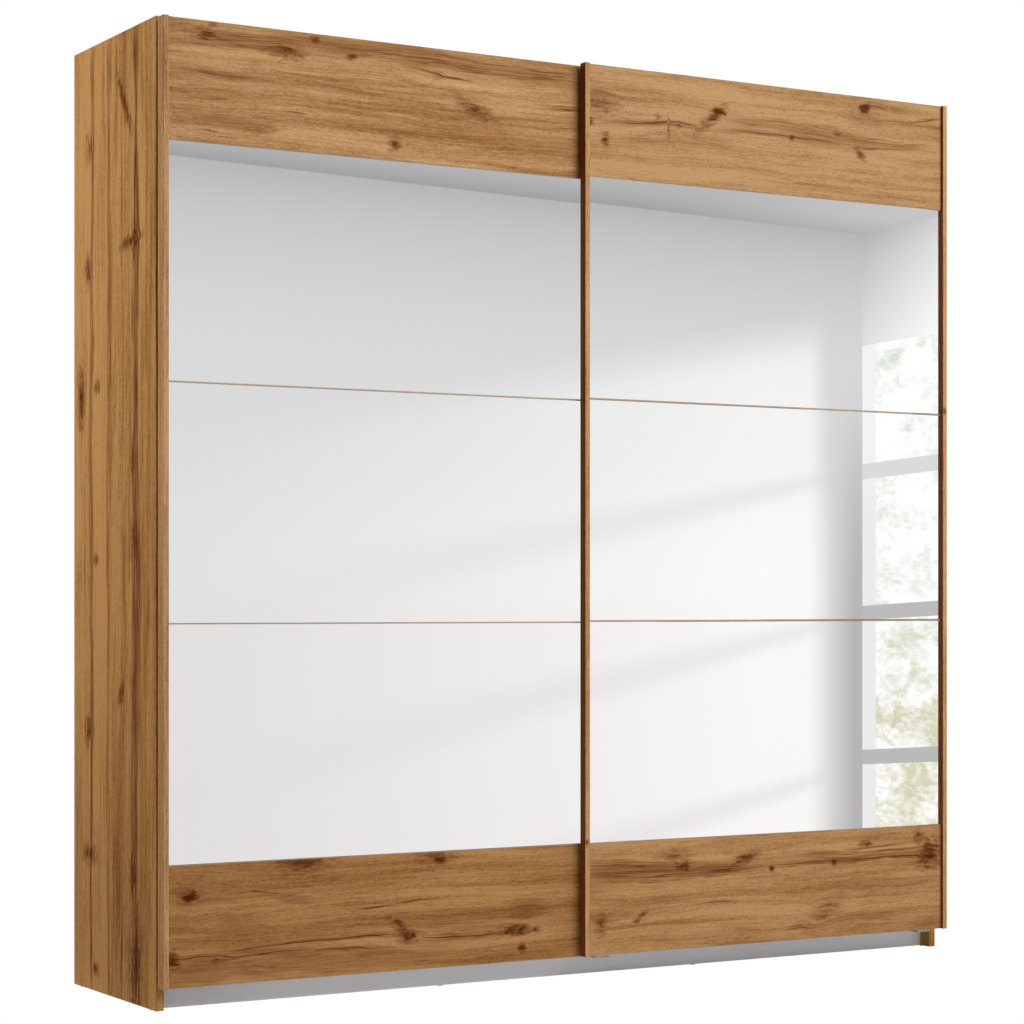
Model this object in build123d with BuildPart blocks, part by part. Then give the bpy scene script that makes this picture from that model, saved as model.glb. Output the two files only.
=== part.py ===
# Sliding door wardrobe: a board carcass with two suspended doors that carry mirrors. Millimetres.
# The origin is the middle of the footprint on the floor: +X to the right, +Y to the wall, +Z up.
from build123d import *
import os

os.makedirs("parts", exist_ok=True)

# ---- Carcass ---------------------------------------------------------------------------------
width = 2150.0  # over the two sides
height = 2150.0  # floor to the top of the sides
depth = 550.0  # back of the sides to the front of the front door's edge strips
board = 18.0
back_sheet = 3.0
edge_round = 1.0  # rounding of the edge banding
top_drop = 52.0  # top of the sides down to the top panel's upper face
floor_clear = 70.0  # floor to the underside of the bottom panel
plinth_board = 16.0
plinth_setback = 36.0  # carcass front to the front plinth
rear_plinth_setback = 30.0  # back sheets to the rear plinth
rebate_width = 9.0  # of each side, for the edge of its back sheet
sheet_play = 0.5  # between a back sheet and what it fits between
joint_web = 1.5  # of the profile that joins the two back sheets
joint_flange = 16.0
joint_flange_wall = 1.0

# ---- Interior --------------------------------------------------------------------------------
hat_space = 300.0  # clear height over the hat shelves
shelf_count = 4
bay_split = 515.0  # width of the shelf bay, right of the centre divider
shelf_setback = 30.0
inner_setback = 20.0
shelf_play = 0.5
pin_radius = 2.5
pin_in_board = 7.0
pin_out = 9.0
pin_play = 0.1
pin_inset = 60.0  # carcass front, and back sheets, to the rows of pin holes
pin_pitch = 32.0
rail_radius = 12.5
rail_wall = 1.2
rail_below_shelf = 62.0
rail_end_play = 0.5
socket_wall = 3.0
socket_reach = 14.0
socket_play = 0.3
socket_plate = (36.0, 62.0)  # width and height
socket_corner = 8.0
socket_screw_offset = 23.0

# ---- Doors -----------------------------------------------------------------------------------
leaf = 12.0  # wood panels, and mirror with its backing
mirror = 4.0
mirror_bevel = 0.8
strip_face = 13.0  # width of an edge strip, seen from the front
strip_wall = 5.0  # part of it that stands beside the leaf
strip_stand = 10.0  # how far it stands proud of the leaf
strip_behind = 9.0  # how far the rear door's strips stand behind its leaf
leaf_play = 0.5
rear_leaf_gap = 18.0  # carcass front to the back of the rear leaf
passing_gap = 3.0  # rear door's strips to the back of the front leaf
door_overlap = 34.0
door_inset = 14.0  # right side's outer face to the front door's edge
door_drop = 17.0  # underside of the bottom panel down to the rear door's lower edge
front_lift = 2.5  # how much higher the front door hangs
wood_panel = 263.0  # height of the top and of the bottom panel
panel_joint = 2.0
mirror_joint = 3.0
joint_recess = 1.0
mirror_count = 3

# ---- Running gear ----------------------------------------------------------------------------
steel = 3.0
bend_inside = 1.0  # inner radius of a bend
over_door_gap = 2.0  # rear door to the arms that pass over and under it
hanger_inset = 120.0  # door edge to the middle of a hanger
hanger_width = 60.0
hanger_leg = 95.0  # a door's upper edge down to the foot of a hanger
hanger_screw_edge = 15.0  # end of a hanger's leg to its screw
ear_reach = 11.0  # how far a hanger's ear passes the axle
rear_hanger_rise = 10.0  # track base to the top of the rear hanger's arm
pocket_play = 0.5
wheel_radius = 15.0
wheel_width = 9.0
groove_radius = 12.3  # of the wheel, at the bottom of its groove
groove_width = 4.0
hub_radius = 6.5
rim_inner_radius = 10.0
web_width = 6.0
wheel_gap = 2.5  # ear to wheel
axle_radius = 3.0
axle_play = 0.05
axle_head_radius = 4.5
axle_head = 1.2
axle_end_gap = 1.0
track_base = 2.0
track_edge = 2.0  # carcass front to the track
track_lip = 6.0
rear_rail = 16.0  # carcass front to the rear door's rail
rail_spacing = 30.0
rail_rib = 3.0
rail_height = 8.0
rail_crown = 1.2
rolling_gap = 0.3
track_end_play = 1.0
stop_length = 30.0
stop_height = 30.0
stop_gap = 0.5
stop_slot_play = 0.3
buffer_length = 6.0
buffer_width = 10.0
buffer_height = 16.0
buffer_lap = 1.0  # how far a buffer reaches past a hanger's ear, to the front
stop_lip_gap = 2.0  # stops to the track's lip
guide_rail_height = 8.0
guide_rail_depth = 30.0
guide_groove = 6.0
guide_groove_depth = 6.0
rear_groove = 9.0  # carcass front to the rear door's groove
groove_spacing = 16.0
guide_inset = 60.0  # door edge to the middle of a guide
guide_width = 40.0
guide_leg = 40.0
guide_screw_low = 20.0  # top of a guide's leg to its lower screw
guide_screw_high = 8.0  # and to its upper one
guide_wall = 4.0
guide_foot = 3.0
guide_play = 0.4
guide_rail_gap = 1.5  # underside of the guide rail to the rear door's guide
tongue_gap = 1.0  # top of a tongue to the top of its groove
guide_arm_leg = 60.0
slider_height = 10.0
slider_overlap = 6.0

# ---- Fasteners and feet ----------------------------------------------------------------------
screw_radius = 2.0
screw_head_radius = 4.0
screw_head = 2.0
screw_play = 0.1
cross_slot = (0.9, 4.0, 1.2)  # width, length and depth
board_screw = 15.0
screw_skin = 3.0  # left of a leaf in front of a door screw's tip
long_screw = 45.0
rail_screw_count = 8
rail_screw_inset = 40.0  # inner end of a stop's buffer to the last screw of the rails
cam_radius = 7.5
cam_depth = 12.5
cam_inset = 34.0
cam_bolt_radius = 3.0
cam_bolt_in_side = 11.0
cam_setback = 70.0
cam_play = 0.1
glide_radius = 7.0
glide_stand = 2.0
glide_stem_radius = 2.5
glide_stem = 10.0
glide_inset = 40.0
bracket_leg = 40.0
bracket_width = 40.0
bracket_inset = 375.0  # side's outer face to the middle of a wall bracket
bracket_hole_radius = 2.75
bracket_hole_rise = 27.0

# ---- Places worked out from them -------------------------------------------------------------
stack = rear_leaf_gap + leaf + strip_stand + passing_gap + leaf + strip_stand
front = -depth / 2 + stack  # the carcass's front edges
back = depth / 2
side_x = width / 2
inner_x = side_x - board
sheet_y = back - joint_flange_wall - back_sheet  # where boards end and the back sheets start
top_face = height - top_drop
bottom_face = floor_clear + board
hat_underside = top_face - board - hat_space - board
split_x = board / 2 + bay_split

rear_back = front - rear_leaf_gap
front_back = rear_back - leaf - strip_stand - passing_gap
rear_top = height - steel - over_door_gap
rear_bottom = floor_clear - door_drop
door_height = rear_top - rear_bottom
door_width = (width - door_inset + door_overlap) / 2
pane = (
    door_height - 2 * wood_panel - 2 * panel_joint - (mirror_count - 1) * mirror_joint
) / mirror_count

rail_y = {"rear": front + rear_rail, "front": front + rear_rail + rail_spacing}
groove_y = {"rear": front + rear_groove, "front": front + rear_groove + groove_spacing}
track_back = rail_y["front"] + rear_rail - track_edge  # the same margin as before the rear rail
rib_top = top_face + track_base + rail_height
axle_z = rib_top + rolling_gap + groove_radius
guide_rail_z = floor_clear - guide_rail_height
door_left = {"rear": -side_x, "front": side_x - door_inset - door_width}
# Each end's stops stand where a door's hangers end with that door shut.
stop_reach = hanger_width / 2 + stop_gap - hanger_inset
stop_x = {-1: side_x + stop_reach, 1: side_x - door_inset + stop_reach}


def block(x, y, z, mode=Mode.ADD):
    """A rectangular solid between the low and the high value on each axis."""
    with Locations(((x[0] + x[1]) / 2, (y[0] + y[1]) / 2, (z[0] + z[1]) / 2)):
        Box(x[1] - x[0], y[1] - y[0], z[1] - z[0], mode=mode)


def round_bar(start, direction, radius, length, mode=Mode.ADD):
    """A round bar, or a hole, that runs from its start along a direction."""
    with Locations(Plane(origin=start, z_dir=direction)):
        Cylinder(radius, length, align=(Align.CENTER, Align.CENTER, Align.MIN), mode=mode)


def screws(spots):
    """Countersunk screws. A spot is the middle of the head's face, the way in and the length."""
    for start, direction, length in spots:
        round_bar(start, direction, screw_radius, length)
        with Locations(Plane(origin=start, z_dir=direction)):
            Cone(
                screw_head_radius,
                screw_radius,
                screw_head,
                align=(Align.CENTER, Align.CENTER, Align.MIN),
            )
            slot_width, slot_length, slot_depth = cross_slot
            for turn in (0, 90):
                Box(
                    slot_width,
                    slot_length,
                    2 * slot_depth,
                    rotation=(0, 0, turn),
                    mode=Mode.SUBTRACT,
                )


def screw_holes(spots):
    """Cuts the countersinks and bores that the screws at these spots pass through."""
    for start, direction, length in spots:
        bore = length + screw_head
        round_bar(start, direction, screw_radius + screw_play, bore, Mode.SUBTRACT)
        with Locations(Plane(origin=start, z_dir=direction)):
            Cone(
                screw_head_radius + screw_play,
                screw_radius + screw_play,
                screw_head,
                align=(Align.CENTER, Align.CENTER, Align.MIN),
                mode=Mode.SUBTRACT,
            )


def bent_plates(path, middles, plate_width):
    """Steel plates bent along a path of (y, z) points, with the plate on the path's right."""
    with BuildPart() as plates:
        for middle in middles:
            with BuildSketch(Plane.YZ.offset(middle - plate_width / 2)):
                with BuildLine():
                    FilletPolyline(*path, radius=steel + bend_inside)
                    offset(amount=steel, side=Side.RIGHT)
                make_face()
            extrude(amount=plate_width)
    return plates


def keep(made, label):
    """Labels a finished piece and writes it."""
    made.part.label = label
    export_step(made.part, f"parts/{label}.step")


def spread(low, high, count):
    """Evenly spaced places from low to high."""
    return [low + (high - low) * i / (count - 1) for i in range(count)]


# ---- Where the screws, cams, pins and sockets go -----------------------------------------------
rail_screw_end = min(stop_x.values()) - rail_screw_inset
rail_screw_x = spread(-rail_screw_end, rail_screw_end, rail_screw_count)
track_screw_y = (rail_y["rear"] + rail_y["front"]) / 2
guide_screw_y = (groove_y["rear"] + groove_y["front"]) / 2
track_screws = [
    ((x, track_screw_y, top_face + track_base), (0, 0, -1), board_screw) for x in rail_screw_x
]
guide_rail_screws = [
    ((x, guide_screw_y, guide_rail_z), (0, 0, 1), board_screw + guide_rail_height)
    for x in rail_screw_x
]
stop_middle = {s: s * (x + buffer_length + stop_length / 2) for s, x in stop_x.items()}
stop_screws = [
    ((x, track_screw_y, top_face + track_base + stop_height), (0, 0, -1), long_screw)
    for x in stop_middle.values()
]
bracket_x = side_x - bracket_inset
bracket_screws = [
    ((s * bracket_x, back - bracket_leg / 2, top_face + steel), (0, 0, -1), board_screw)
    for s in (-1, 1)
]
cam_y = (front + cam_setback, sheet_y - cam_setback)
divider_screws = [((0, y, top_face), (0, 0, -1), long_screw) for y in cam_y] + [
    ((x, y, floor_clear), (0, 0, 1), long_screw)
    for x in (0, split_x + board / 2)
    for y in cam_y
]
rail_z = hat_underside - rail_below_shelf
rail_place_y = (front + sheet_y) / 2
# A clothes rail's two ends: where its socket's plate lies, and the way the rail runs from there.
rail_ends = {
    "left": ((-inner_x, 1), (-board / 2, -1)),
    "right": ((split_x + board, 1), (inner_x, -1)),
}
socket_ends = [end for ends in rail_ends.values() for end in ends]
socket_screws = [
    ((x + s * socket_wall, rail_place_y, rail_z + rise), (-s, 0, 0), board_screw)
    for x, s in socket_ends
    for rise in (-socket_screw_offset, socket_screw_offset)
]
shelf_gap = (hat_underside - bottom_face - shelf_count * board) / (shelf_count + 1)
shelf_underside = [bottom_face + shelf_gap + i * (shelf_gap + board) for i in range(shelf_count)]
pin_y = (front + pin_inset, sheet_y - pin_inset)
# A board's face that carries shelf pins: its x, the way the pins point, and the shelves' undersides.
pin_faces = {
    "side_left": [(-inner_x, 1, [hat_underside])],
    "centre_divider": [
        (-board / 2, -1, [hat_underside]),
        (board / 2, 1, shelf_underside + [hat_underside]),
    ],
    "inner_divider": [(split_x, -1, shelf_underside)],
    "side_right": [(inner_x, -1, [hat_underside])],
}
# A cam's x, the way its bolt points, the face it is let into and the way out of that face.
cams = [(s * (inner_x - cam_inset), s, z, out) for z, out in ((top_face, 1), (floor_clear, -1))
        for s in (-1, 1)]


def pin_holes(board_name):
    """Cuts the pin holes of a board: one for each pin, with a spare one above and below."""
    for x, s, undersides in pin_faces[board_name]:
        for underside in undersides:
            for y in pin_y:
                for step in (-1, 0, 1):
                    z = underside - pin_radius - pin_play + step * pin_pitch
                    start = (x, y, z)
                    round_bar(
                        start, (-s, 0, 0), pin_radius + pin_play, pin_in_board + pin_play, Mode.SUBTRACT
                    )


def cam_holes(s):
    """Cuts a side's holes for its cam bolts. s is -1 for the left side and 1 for the right."""
    for x, way, z, out in cams:
        if way == s:
            for y in cam_y:
                start = (s * inner_x, y, z - out * board / 2)
                bore = cam_bolt_in_side + cam_play
                round_bar(start, (s, 0, 0), cam_bolt_radius + cam_play, bore, Mode.SUBTRACT)


def cam_pockets(face_z):
    """Cuts a panel's pockets for the cams, and the bores for their bolts."""
    for x, s, z, out in cams:
        if z == face_z:
            for y in cam_y:
                deep = cam_depth + cam_play
                round_bar((x, y, z), (0, 0, -out), cam_radius + cam_play, deep, Mode.SUBTRACT)
                start = (x, y, z - out * board / 2)
                bolt = cam_bolt_radius + cam_play
                round_bar(start, (s, 0, 0), bolt, cam_inset + cam_play, Mode.SUBTRACT)


# ---- Carcass ---------------------------------------------------------------------------------
glide_y = (front + glide_inset, back - glide_inset)
plinth_y = front + plinth_setback
rear_plinth_y = sheet_y - rear_plinth_setback - plinth_board
# The sides have glides near their ends, and the plinths' stand at a third of their length.
glide_spots = [(s * (side_x - board / 2), y) for s in (-1, 1) for y in glide_y] + [
    (s * inner_x / 3, y + plinth_board / 2) for s in (-1, 1) for y in (plinth_y, rear_plinth_y)
]


def glide_holes():
    """Cuts the holes for the stems of the glides."""
    for x, y in glide_spots:
        stem = glide_stem_radius + screw_play
        round_bar((x, y, glide_stand), (0, 0, 1), stem, glide_stem + screw_play, Mode.SUBTRACT)


def side(s, name):
    """A side of the carcass. s is -1 for the left one and 1 for the right one."""
    with BuildPart() as made:
        block(sorted((s * inner_x, s * side_x)), (front, back), (glide_stand, height))
        fillet(made.edges().filter_by(Axis.Z).group_by(Axis.Y)[0], radius=edge_round)
        rebate = sorted((s * inner_x, s * (inner_x + rebate_width)))
        block(rebate, (sheet_y, back), (glide_stand, height), Mode.SUBTRACT)
        pin_holes(name)
        cam_holes(s)
        glide_holes()
        screw_holes(socket_screws)
    return made


keep(side(-1, "side_left"), "side_left")
keep(side(1, "side_right"), "side_right")

with BuildPart() as top_panel:
    block((-inner_x, inner_x), (front, sheet_y), (top_face - board, top_face))
    fillet(top_panel.edges().filter_by(Axis.X).group_by(Axis.Y)[0], radius=edge_round)
    cam_pockets(top_face)
    screw_holes(track_screws + stop_screws + bracket_screws + divider_screws)
keep(top_panel, "top_panel")

with BuildPart() as bottom_panel:
    block((-inner_x, inner_x), (front, sheet_y), (floor_clear, bottom_face))
    fillet(bottom_panel.edges().filter_by(Axis.X).group_by(Axis.Y)[0], radius=edge_round)
    cam_pockets(floor_clear)
    screw_holes(guide_rail_screws + divider_screws)
keep(bottom_panel, "bottom_panel")

with BuildPart() as centre_divider:
    block((-board / 2, board / 2), (front, sheet_y), (bottom_face, top_face - board))
    fillet(centre_divider.edges().filter_by(Axis.Z).group_by(Axis.Y)[0], radius=edge_round)
    pin_holes("centre_divider")
    screw_holes(divider_screws + socket_screws)
keep(centre_divider, "centre_divider")

with BuildPart() as inner_divider:
    block((split_x, split_x + board), (front + inner_setback, sheet_y), (bottom_face, hat_underside))
    fillet(inner_divider.edges().filter_by(Axis.Z).group_by(Axis.Y)[0], radius=edge_round)
    pin_holes("inner_divider")
    screw_holes(divider_screws + socket_screws)
keep(inner_divider, "inner_divider")

for y, label in ((plinth_y, "plinth_front"), (rear_plinth_y, "plinth_rear")):
    with BuildPart() as plinth:
        block((-inner_x, inner_x), (y, y + plinth_board), (glide_stand, floor_clear))
        glide_holes()
    keep(plinth, label)

sheet_outer = inner_x + rebate_width - sheet_play
for s, label in ((-1, "back_panel_left"), (1, "back_panel_right")):
    with BuildPart() as back_panel:
        sheet_x = sorted((s * joint_web / 2, s * sheet_outer))
        block(sheet_x, (sheet_y, sheet_y + back_sheet), (floor_clear, top_face))
    keep(back_panel, label)

with BuildPart() as back_joint_profile:
    block(
        (-joint_web / 2, joint_web / 2), (sheet_y, back - joint_flange_wall), (floor_clear, top_face)
    )
    block(
        (-joint_flange / 2, joint_flange / 2), (back - joint_flange_wall, back), (floor_clear, top_face)
    )
keep(back_joint_profile, "back_joint_profile")

# ---- Interior --------------------------------------------------------------------------------
for low, high, label in (
    (-inner_x, -board / 2, "hat_shelf_left"),
    (board / 2, inner_x, "hat_shelf_right"),
):
    with BuildPart() as hat_shelf:
        block(
            (low + shelf_play, high - shelf_play),
            (front + inner_setback, sheet_y),
            (hat_underside, hat_underside + board),
        )
        fillet(hat_shelf.edges().filter_by(Axis.X).group_by(Axis.Y)[0], radius=edge_round)
    keep(hat_shelf, label)

for i, underside in enumerate(shelf_underside):
    with BuildPart() as shelf:
        block(
            (board / 2 + shelf_play, split_x - shelf_play),
            (front + shelf_setback, sheet_y - shelf_play),
            (underside, underside + board),
        )
        fillet(shelf.edges().filter_by(Axis.X).group_by(Axis.Y)[0], radius=edge_round)
    keep(shelf, f"shelf_{i + 1}")

with BuildPart() as shelf_pins:
    for x, s, undersides in sum(pin_faces.values(), []):
        for underside in undersides:
            for y in pin_y:
                start = (x - s * pin_in_board, y, underside - pin_radius - pin_play)
                round_bar(start, (s, 0, 0), pin_radius, pin_in_board + pin_out)
keep(shelf_pins, "shelf_pins")

for label, ((left, _), (right, _)) in rail_ends.items():
    end = socket_wall + rail_end_play
    with BuildPart() as clothes_rail:
        with BuildSketch(Plane.YZ.offset(left + end)):
            with Locations((rail_place_y, rail_z)):
                Circle(rail_radius)
                Circle(rail_radius - rail_wall, mode=Mode.SUBTRACT)
        extrude(amount=right - left - 2 * end)
    keep(clothes_rail, f"clothes_rail_{label}")

with BuildPart() as rail_sockets:
    for x, s in socket_ends:
        plane = Plane(origin=(x, rail_place_y, rail_z), x_dir=(0, 1, 0), z_dir=(s, 0, 0))
        with BuildSketch(plane):
            RectangleRounded(*socket_plate, radius=socket_corner)
        extrude(amount=socket_wall)
        with BuildSketch(plane.offset(socket_wall)):
            Circle(rail_radius + socket_play + socket_wall)
            Circle(rail_radius + socket_play, mode=Mode.SUBTRACT)
        extrude(amount=socket_reach - socket_wall)
    screw_holes(socket_screws)
keep(rail_sockets, "rail_sockets")

# ---- Top track and bottom guide rail ---------------------------------------------------------
track_x = inner_x - track_end_play
track_front = front + track_edge
with BuildPart() as top_track:
    block((-track_x, track_x), (track_front, track_back), (top_face, top_face + track_base))
    lip_z = (top_face + track_base, top_face + track_lip)
    block((-track_x, track_x), (track_back - track_base, track_back), lip_z)
    for y in rail_y.values():
        rib = (y - rail_rib / 2, y + rail_rib / 2)
        block((-track_x, track_x), rib, (top_face + track_base, rib_top))
    crowns = top_track.edges().filter_by(Axis.X).group_by(Axis.Z)[-1]
    fillet(crowns, radius=rail_crown)
    screw_holes(track_screws + stop_screws)
keep(top_track, "top_track")

with BuildPart() as bottom_guide_rail:
    rail_front = front + track_edge
    block(
        (-track_x, track_x), (rail_front, rail_front + guide_rail_depth), (guide_rail_z, floor_clear)
    )
    groove_z = (guide_rail_z, guide_rail_z + guide_groove_depth)
    for y in groove_y.values():
        groove = (y - guide_groove / 2, y + guide_groove / 2)
        block((-track_x, track_x), groove, groove_z, Mode.SUBTRACT)
    screw_holes(guide_rail_screws)
keep(bottom_guide_rail, "bottom_guide_rail")

with BuildPart() as track_stops:
    for s, x in stop_middle.items():
        stop = (x - stop_length / 2, x + stop_length / 2)
        stop_z = (top_face + track_base, top_face + track_base + stop_height)
        block(stop, (track_front, track_back - track_base - stop_lip_gap), stop_z)
        for y in rail_y.values():
            slot = rail_rib / 2 + stop_slot_play
            slot_z = (top_face + track_base, rib_top + stop_slot_play)
            block(stop, (y - slot, y + slot), slot_z, Mode.SUBTRACT)
    screw_holes(stop_screws)
keep(track_stops, "track_stops")

ear_back = {door: y - wheel_width / 2 - wheel_gap for door, y in rail_y.items()}
with BuildPart() as stop_buffers:
    for s, x in stop_x.items():
        for y in ear_back.values():
            buffer_front = y - steel - buffer_lap
            block(
                sorted((s * x, s * (x + buffer_length))),
                (buffer_front, buffer_front + buffer_width),
                (axle_z - buffer_height / 2, axle_z + buffer_height / 2),
            )
keep(stop_buffers, "stop_buffers")

# ---- Fittings of the carcass -------------------------------------------------------------------
with BuildPart() as cam_fittings:
    for x, s, z, out in cams:
        for y in cam_y:
            round_bar((x, y, z), (0, 0, -out), cam_radius, cam_depth)
            start = (x + s * (cam_radius + cam_play), y, z - out * board / 2)
            bolt = cam_inset - cam_radius - cam_play + cam_bolt_in_side
            round_bar(start, (s, 0, 0), cam_bolt_radius, bolt)
keep(cam_fittings, "cam_fittings")

with BuildPart() as carcass_screws:
    screws(
        track_screws
        + guide_rail_screws
        + stop_screws
        + bracket_screws
        + divider_screws
        + socket_screws
    )
keep(carcass_screws, "carcass_screws")

with BuildPart() as floor_glides:
    for x, y in glide_spots:
        round_bar((x, y, 0), (0, 0, 1), glide_radius, glide_stand)
        round_bar((x, y, glide_stand), (0, 0, 1), glide_stem_radius, glide_stem)
keep(floor_glides, "floor_glides")

with BuildPart() as wall_brackets:
    for s in (-1, 1):
        bracket = (s * bracket_x - bracket_width / 2, s * bracket_x + bracket_width / 2)
        block(bracket, (back - bracket_leg, back), (top_face, top_face + steel))
        block(bracket, (back - steel, back), (top_face, top_face + bracket_leg))
        hole = (s * bracket_x, back, top_face + bracket_hole_rise)
        round_bar(hole, (0, -1, 0), bracket_hole_radius, steel, Mode.SUBTRACT)
    screw_holes(bracket_screws)
keep(wall_brackets, "wall_brackets")


# ---- Doors -----------------------------------------------------------------------------------
def plate_screws(middles, head_y, tip_y, low, high):
    """Two screws in each plate's leg, one near each end of it, driven towards the front."""
    return [((x, head_y, z), (0, -1, 0), head_y - tip_y) for x in middles for z in (low, high)]


def pocket(middles, plate_width, y, z):
    """Cuts the pockets that bent plates are let into."""
    half = plate_width / 2 + pocket_play
    for x in middles:
        block((x - half, x + half), y, z, Mode.SUBTRACT)


def roller(x, y):
    """A wheel with a grooved rim, on an axle along Y at the given place."""
    half, web, groove = wheel_width / 2, web_width / 2, groove_width / 2
    bore = axle_radius + axle_play
    right = [
        (half, bore),
        (half, hub_radius),
        (web, hub_radius),
        (web, rim_inner_radius),
        (half, rim_inner_radius),
        (half, wheel_radius),
        (groove + screw_play, wheel_radius),
        (groove, groove_radius),
    ]
    left = [(-u, v) for u, v in reversed(right)]
    centre = (x, y, axle_z)
    with BuildPart() as wheel:
        with BuildSketch(Plane(origin=centre, x_dir=(0, 1, 0), z_dir=(1, 0, 0))):
            with BuildLine():
                Polyline(*right, *left, close=True)
            make_face()
        revolve(axis=Axis(centre, (0, 1, 0)))
    return wheel


def make_door(door, leaf_back, bottom, recess, behind):
    """One door. recess is how deep its steel plates are let in, and behind how far its strips stand
    behind the leaf."""
    left = door_left[door]
    right = left + door_width
    top = bottom + door_height
    leaf_front = leaf_back - leaf
    leaf_x = (left + strip_wall + leaf_play, right - strip_wall - leaf_play)
    leaf_y = (leaf_front, leaf_back)
    bottom_panel_top = bottom + wood_panel
    top_panel_low = top - wood_panel
    hangers = (left + hanger_inset, right - hanger_inset)
    guides = (left + guide_inset, right - guide_inset)
    plate_front = leaf_back - recess
    screw_tip = leaf_front + screw_skin

    hanger_low = top - hanger_leg
    # The front door's hangers pass over the rear door and come down behind it to their axles. The
    # rear door's pass under their own axles and stand up, so their ears bend the other way.
    if recess:
        arm_top, ear, ear_end = height, ear_back[door], axle_z - ear_reach
    else:
        arm_top = top_face + track_base + rear_hanger_rise
        ear, ear_end = ear_back[door] - steel, axle_z + ear_reach
    hanger_path = [
        (plate_front, hanger_low),
        (plate_front, arm_top),
        (ear, arm_top),
        (ear, ear_end),
    ]
    hanger_high = min(arm_top - steel, top)
    hanger_screws = plate_screws(
        hangers,
        plate_front + steel,
        screw_tip,
        hanger_low + hanger_screw_edge,
        hanger_high - hanger_screw_edge,
    )

    guide_low = guide_rail_z - guide_rail_gap - guide_foot
    arm_low = rear_bottom - over_door_gap - steel
    guide_top = (arm_low + guide_arm_leg) if recess else (guide_low + guide_leg)
    guide_head_y = (plate_front + steel) if recess else (leaf_back + guide_wall)
    guide_screws = plate_screws(
        guides,
        guide_head_y,
        screw_tip,
        guide_top - guide_screw_low,
        guide_top - guide_screw_high,
    )

    with BuildPart() as top_board:
        block(leaf_x, leaf_y, (top_panel_low, top))
        if recess:
            pocket(hangers, hanger_width, (plate_front, leaf_back), (hanger_low - pocket_play, top))
        screw_holes(hanger_screws)
    keep(top_board, f"{door}_door_top_panel")

    with BuildPart() as bottom_board:
        block(leaf_x, leaf_y, (bottom, bottom_panel_top))
        if recess:
            pocket_z = (bottom, guide_top + pocket_play)
            pocket(guides, guide_width, (plate_front, leaf_back), pocket_z)
        screw_holes(guide_screws)
    keep(bottom_board, f"{door}_door_bottom_panel")

    backing_z = (bottom_panel_top + panel_joint, top_panel_low - panel_joint)
    with BuildPart() as backing:
        block(leaf_x, (leaf_front + mirror, leaf_back), backing_z)
    keep(backing, f"{door}_door_mirror_backing")

    for i, place in enumerate(("lower", "middle", "upper")[:mirror_count]):
        low = backing_z[0] + i * (pane + mirror_joint)
        with BuildPart() as glass:
            block(leaf_x, (leaf_front, leaf_front + mirror), (low, low + pane))
            chamfer(glass.faces().sort_by(Axis.Y)[0].edges(), length=mirror_bevel)
        keep(glass, f"{door}_door_mirror_{place}")

    with BuildPart() as joint_strips:
        recessed = leaf_front + joint_recess
        for low in (bottom_panel_top, top_panel_low - panel_joint):
            block(leaf_x, (recessed, leaf_back), (low, low + panel_joint))
        for i in range(mirror_count - 1):
            low = backing_z[0] + (i + 1) * pane + i * mirror_joint
            block(leaf_x, (recessed, leaf_front + mirror), (low, low + mirror_joint))
    keep(joint_strips, f"{door}_door_joint_strips")

    for edge, inward, place in ((left, 1, "left"), (right, -1, "right")):
        face_x = sorted((edge, edge + inward * strip_face))
        with BuildPart() as strip:
            block(face_x, (leaf_front - strip_stand, leaf_front), (bottom, top))
            block(sorted((edge, edge + inward * strip_wall)), leaf_y, (bottom, top))
            if behind:
                block(face_x, (leaf_back, leaf_back + behind), (bottom, top))
            fillet(strip.edges().filter_by(Axis.Z).group_by(Axis.Y)[0], radius=edge_round)
        keep(strip, f"{door}_door_strip_{place}")

    plates = bent_plates(hanger_path, hangers, hanger_width)
    rivet_y = ear_back[door] - steel - axle_head
    with BuildPart() as hanger_brackets:
        add(plates.part)
        for x in hangers:
            hole = axle_radius + axle_play
            round_bar((x, rivet_y, axle_z), (0, 1, 0), hole, axle_head + 2 * steel, Mode.SUBTRACT)
        screw_holes(hanger_screws)
    keep(hanger_brackets, f"{door}_door_hangers")

    with BuildPart() as axles:
        end_y = rail_y[door] + wheel_width / 2 + axle_end_gap
        for x in hangers:
            round_bar((x, rivet_y, axle_z), (0, 1, 0), axle_radius, end_y - rivet_y)
            for y in (rivet_y, end_y):
                round_bar((x, y, axle_z), (0, 1, 0), axle_head_radius, axle_head)
    keep(axles, f"{door}_door_axles")

    for x, place in zip(hangers, ("left", "right")):
        keep(roller(x, rail_y[door]), f"{door}_roller_{place}")

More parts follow.
